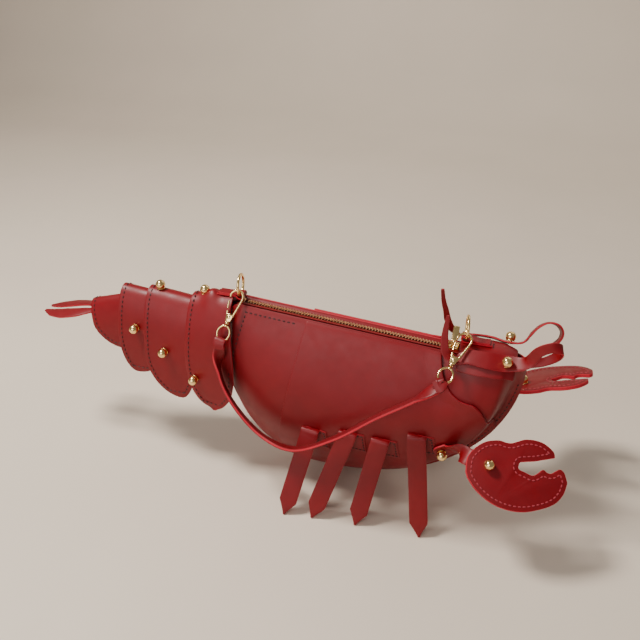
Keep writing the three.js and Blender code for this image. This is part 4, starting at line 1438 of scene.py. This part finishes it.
class LOBSTER_OT_hooks(bpy.types.Operator):
    """Make the two trigger hooks, their gates and the swivel eyes"""

    bl_idname = "lobster.hooks"
    bl_label = "Hooks"

    def execute(self, context):
        top, loop = -4.0, 6.2
        middle = top + loop
        radius = loop - HOOK_WIRE
        for label in ("tail", "head"):
            matrix = hanger_matrix(label)
            points = [Vector((2.2, 19, 0)), Vector((3.6, 12, 0))]
            points += [Vector((radius * math.cos(a), middle + radius * math.sin(a), 0))
                       for a in (lerp(0.15, -math.pi - 0.35, k / 24) for k in range(25))]
            wire_path = polyline([spline(points, k / 120) for k in range(121)])
            wire = tube("hook wire", wire_path, HOOK_WIRE, 90)
            stub = tube("hook stub", lambda u: Vector((lerp(-3.5, -2.2, u), lerp(14.4, 19, u), 0)),
                        HOOK_WIRE, 8)
            boss_outline = [Vector(p) for p in ((-3.1, 16.8, 0), (3.1, 16.8, 0), (2.6, 20, 0), (2.0, 23, 0),
                                                (-2.0, 23, 0), (-2.6, 20, 0))]
            boss = slab_from("hook boss", boss_outline, -1.0, 1.0, 0.3)
            knob = lathe("hook knob", [(0, -1.45), (1.1, -1.4), (1.5, -1.1), (1.5, 1.1), (1.1, 1.4),
                                       (0, 1.45)], 24)
            knob.data.transform(Matrix.Translation(Vector((0, 19.6, 0)) * MM))
            collar = lathe("hook collar", [(0, 22.6), (1.1, 22.6), (1.1, 23.4), (1.7, 23.7), (1.9, 24.4),
                                           (1.7, 25.1), (1.0, 25.4), (0, 25.45)], 24)
            collar.data.transform(Matrix.Rotation(-math.pi / 2, 4, "X"))
            hook = joined(f"hook_{label}_body", [wire, stub, boss, knob, collar])
            hook.data.transform(matrix)
            painted(hook, "Gold plate")
            finish_piece(hook, "handle", "hardware", f"hook_{label}", angle=50)

            gate = tube(f"gate_{label}_bar", lambda u: Vector((lerp(-3.95, -5.0, u), lerp(13.3, 6.6, u), 0)),
                        0.8, 24)
            gate.data.transform(matrix)
            painted(gate, "Gold plate")
            finish_piece(gate, f"gate_{label}", "hardware", f"hook_gate_{label}", angle=50)

            def oval(u, eye_middle=(25.9 + 40) / 2):
                angle = 2 * math.pi * u
                return Vector((5.2 * math.cos(angle), eye_middle + 6.2 * math.sin(angle), 0))

            eye = tube(f"eye_{label}_wire", oval, 0.85, 64, closed=True)
            barrel = lathe("eye barrel", [(0, 25.8), (1.2, 25.9), (1.6, 26.3), (1.6, 27.3), (1.2, 27.7),
                                          (0, 27.8)], 20)
            barrel.data.transform(Matrix.Rotation(-math.pi / 2, 4, "X"))
            whole = joined(f"eye_{label}_oval", [eye, barrel])
            whole.data.transform(matrix)
            painted(whole, "Gold plate")
            finish_piece(whole, "handle", "hardware", f"strap_eye_{label}", angle=50)
        return {"FINISHED"}


class LOBSTER_OT_strap(bpy.types.Operator):
    """Make the wrist strap and its folded ends"""

    bl_idname = "lobster.strap"
    bl_label = "Strap"

    def execute(self, context):
        ends = {}
        for label in ("tail", "head"):
            contact, across, away, through = hanger(label)
            ends[label] = (contact + away * STRAP_END, across, away, through)
        edge = Vector((0.25, -0.81, 0.53))
        path = [(-82, -36, 108), (-70, -43, 86), (-42, -50, 62), (-12, -57, 61), (22, -55, 80),
                (53, -49, 104), (79, -44, 122)]
        path = [ends["tail"][0], *(Vector(place) for place in path), ends["head"][0]]
        stops = [(path[0], Vector((0.1, -0.8, 0.6)), 8)]
        for before, place, after in zip(path, path[1:], path[2:]):
            stops.append((place, edge.cross(after - before).normalized(), STRAP_WIDTH))
        stops.append((path[-1], Vector((-0.1, -0.62, 0.78)), 8))
        strap = strip("strap_band", stops, STRAP_THICKNESS, 200, columns=6, round_edge=0.6)
        finish_piece(strap, "handle", "leather", "strap")
        for label in ("tail", "head"):
            place, across, away, through = ends[label]
            contact = hanger(label)[0]
            bar = contact + away * EYE_BAR
            inner_v = 0.02 if label == "tail" else 0.98
            centre, _, facing, _ = strip_frame(stops, inner_v)
            facing = facing if facing.dot(through) > 0 else -facing
            loop = []
            for hand in (1, -1):
                leg = [centre + facing * hand * 2.1, place + through * hand * 1.9, bar + through * hand * 1.7]
                loop += leg if hand > 0 else leg[::-1]
                if hand > 0:
                    loop.append(bar - away * 1.75)
            path = []
            for k, point in enumerate(loop):
                ahead, behind = loop[min(k + 1, len(loop) - 1)], loop[max(k - 1, 0)]
                path.append((point, (ahead - behind).cross(across).normalized(), 9.0))
            fold = strip(f"strap_fold_{label}", path, 1.2, 90, columns=4, round_edge=0.3)
            finish_piece(fold, "handle", "leather")
        return {"FINISHED"}


# Zip


def zip_matrix(x):
    matrix = Matrix.Rotation(math.atan(RIM_FALL), 4, "Y")
    matrix.translation = Vector((x, 0, rim_z(x) - ZIP_DEPTH)) * MM
    return matrix


class LOBSTER_OT_zip(bpy.types.Operator):
    """Make the zip: tapes, teeth, stops, slider and pull"""

    bl_idname = "lobster.zip"
    bl_label = "Zip"

    def execute(self, context):
        count = int((ZIP_HEAD_END - ZIP_TAIL_END) / ZIP_PITCH)
        for label, side in SIDES:
            tooth = block("tooth model", (0, side * 1.0, 0), (0.9, 3.0, 1.8), 0.2)
            head = block("tooth head", (0, -side * 0.45, 0.3), (1.1, 0.9, 2.1), 0.25)
            model = joined("tooth model", [tooth, head])
            offset = ZIP_PITCH / 2 if side > 0 else 0
            matrices = [zip_matrix(ZIP_TAIL_END + 1.2 + offset + k * ZIP_PITCH) for k in range(count)]
            teeth = scattered(f"zip_row_{label}", model, matrices)
            bpy.data.objects.remove(model)
            painted(teeth, "Zip metal")
            finish_piece(teeth, "pouch", "zip_metal", f"zip_teeth_{label}")

            def tape_surface(u, v, side=side):
                x = lerp(ZIP_TAIL_END - 6, ZIP_HEAD_END + 6, u)
                rise = lerp(-0.2, ZIP_DEPTH - 0.1, smooth(v, 0.1, 0.9))
                return Vector((x, side * lerp(1.9, rim_half(x) + 0.1, v), rim_z(x) - ZIP_DEPTH + rise))

            tape = moulded(f"zip_cloth_{label}", 90, 8, tape_surface)
            painted(tape, "Red leather")
            apply_modifier(tape, "SOLIDIFY", thickness=0.5 * MM, offset=0, use_rim=True)
            finish_piece(clean(tape, 0.0000001), "pouch", "leather", f"zip_tape_{label}")
        for label, x in (("tail", ZIP_TAIL_END - 2.6), ("head", ZIP_HEAD_END + 1.6)):
            stop = block(f"zip_{label}_end", (0, 0, 0), (2, 5, 2), 0.4, zip_matrix(x))
            painted(stop, "Zip metal")
            finish_piece(stop, "pouch", "zip_metal", f"zip_stop_{label}")

        top = 2.4
        parts = [block("plate", (0, 0, top - 0.5), (10, 8.8, 1), 0.4)]
        for hand in (-1, 1):
            parts.append(block("wall", (0, hand * 3.9, 0.7), (10, 1, 3.2), 0.3))
            parts.append(block("post", (hand * 4, 0, top + 1.3), (1.4, 1.6, 3.2), 0.3))
        bar = lathe("bar", [(0, -4), (0.8, -4), (0.8, 4), (0, 4)], 16)
        raised = Matrix.Translation(Vector((0, 0, top + 2.6)) * MM)
        bar.data.transform(raised @ Matrix.Rotation(math.pi / 2, 4, "Y"))
        slider = joined("slider_body", [*parts, bar])
        slider.data.transform(zip_matrix(SLIDER_X))
        painted(slider, "Gold plate")
        finish_piece(slider, "zip_slider", "hardware", "zip_slider")

        pivot = Vector(JOINTS["pull_hinge"]["pos_m"])
        bpy.ops.object.select_all(action="DESELECT")
        bpy.ops.mesh.primitive_torus_add(major_radius=0.0017, minor_radius=0.00045, major_segments=28,
                                         minor_segments=10, location=(0, 0, 0), rotation=(0, math.pi / 2, 0))
        eye = settle(added("pull eye"))
        outline = [Vector((x, y, 0)) for x, y in rounded_rectangle(1.6, 16, 2.4, 1.1)]
        blade = slab_from("pull blade", outline, -0.55, 0.55, 0.25)
        pull = joined("pull_blade", [eye, blade])
        pull.data.transform(Matrix.Translation(pivot) @ Matrix.Rotation(math.radians(20), 4, "X"))
        painted(pull, "Gold plate")
        finish_piece(pull, "zip_pull", "hardware", "zip_pull", angle=50)
        return {"FINISHED"}


def rounded_rectangle(start, end, half, radius, steps=6):
    """Corner points of an upright rectangle from y = start to y = end, anticlockwise."""
    corners = ((half - radius, start + radius, -90), (half - radius, end - radius, 0),
               (radius - half, end - radius, 90), (radius - half, start + radius, 180))
    points = []
    for x, y, first in corners:
        for k in range(steps + 1):
            angle = math.radians(first + 90 * k / steps)
            points.append((x + radius * math.cos(angle), y + radius * math.sin(angle)))
    return points


class LOBSTER_PT_panel(bpy.types.Panel):
    """Lists the bag's pieces"""

    bl_label = "Lobster bag"
    bl_idname = "LOBSTER_PT_panel"
    bl_space_type = "VIEW_3D"
    bl_region_type = "UI"
    bl_category = "Lobster bag"

    def draw(self, context):
        for name in LobsterBagSettings.__annotations__:
            self.layout.prop(context.scene.lobster_bag, name)
        for operator in STEPS:
            self.layout.operator(operator.bl_idname)


STEPS = (
    LOBSTER_OT_materials, LOBSTER_OT_stage, LOBSTER_OT_sides, LOBSTER_OT_overlays, LOBSTER_OT_lining,
    LOBSTER_OT_head_cap, LOBSTER_OT_tail, LOBSTER_OT_rivets, LOBSTER_OT_legs, LOBSTER_OT_claws,
    LOBSTER_OT_feelers, LOBSTER_OT_rings, LOBSTER_OT_hooks, LOBSTER_OT_strap, LOBSTER_OT_zip,
)
CLASSES = (LobsterBagSettings, *STEPS, LOBSTER_PT_panel)


def register():
    for item in CLASSES:
        bpy.utils.register_class(item)
    bpy.types.Scene.lobster_bag = bpy.props.PointerProperty(type=LobsterBagSettings)


def unregister():
    del bpy.types.Scene.lobster_bag
    for item in reversed(CLASSES):
        bpy.utils.unregister_class(item)


def main():
    register()
    for step in STEPS:
        getattr(bpy.ops.lobster, step.bl_idname.split(".")[1])()


if __name__ == "__main__":
    main()
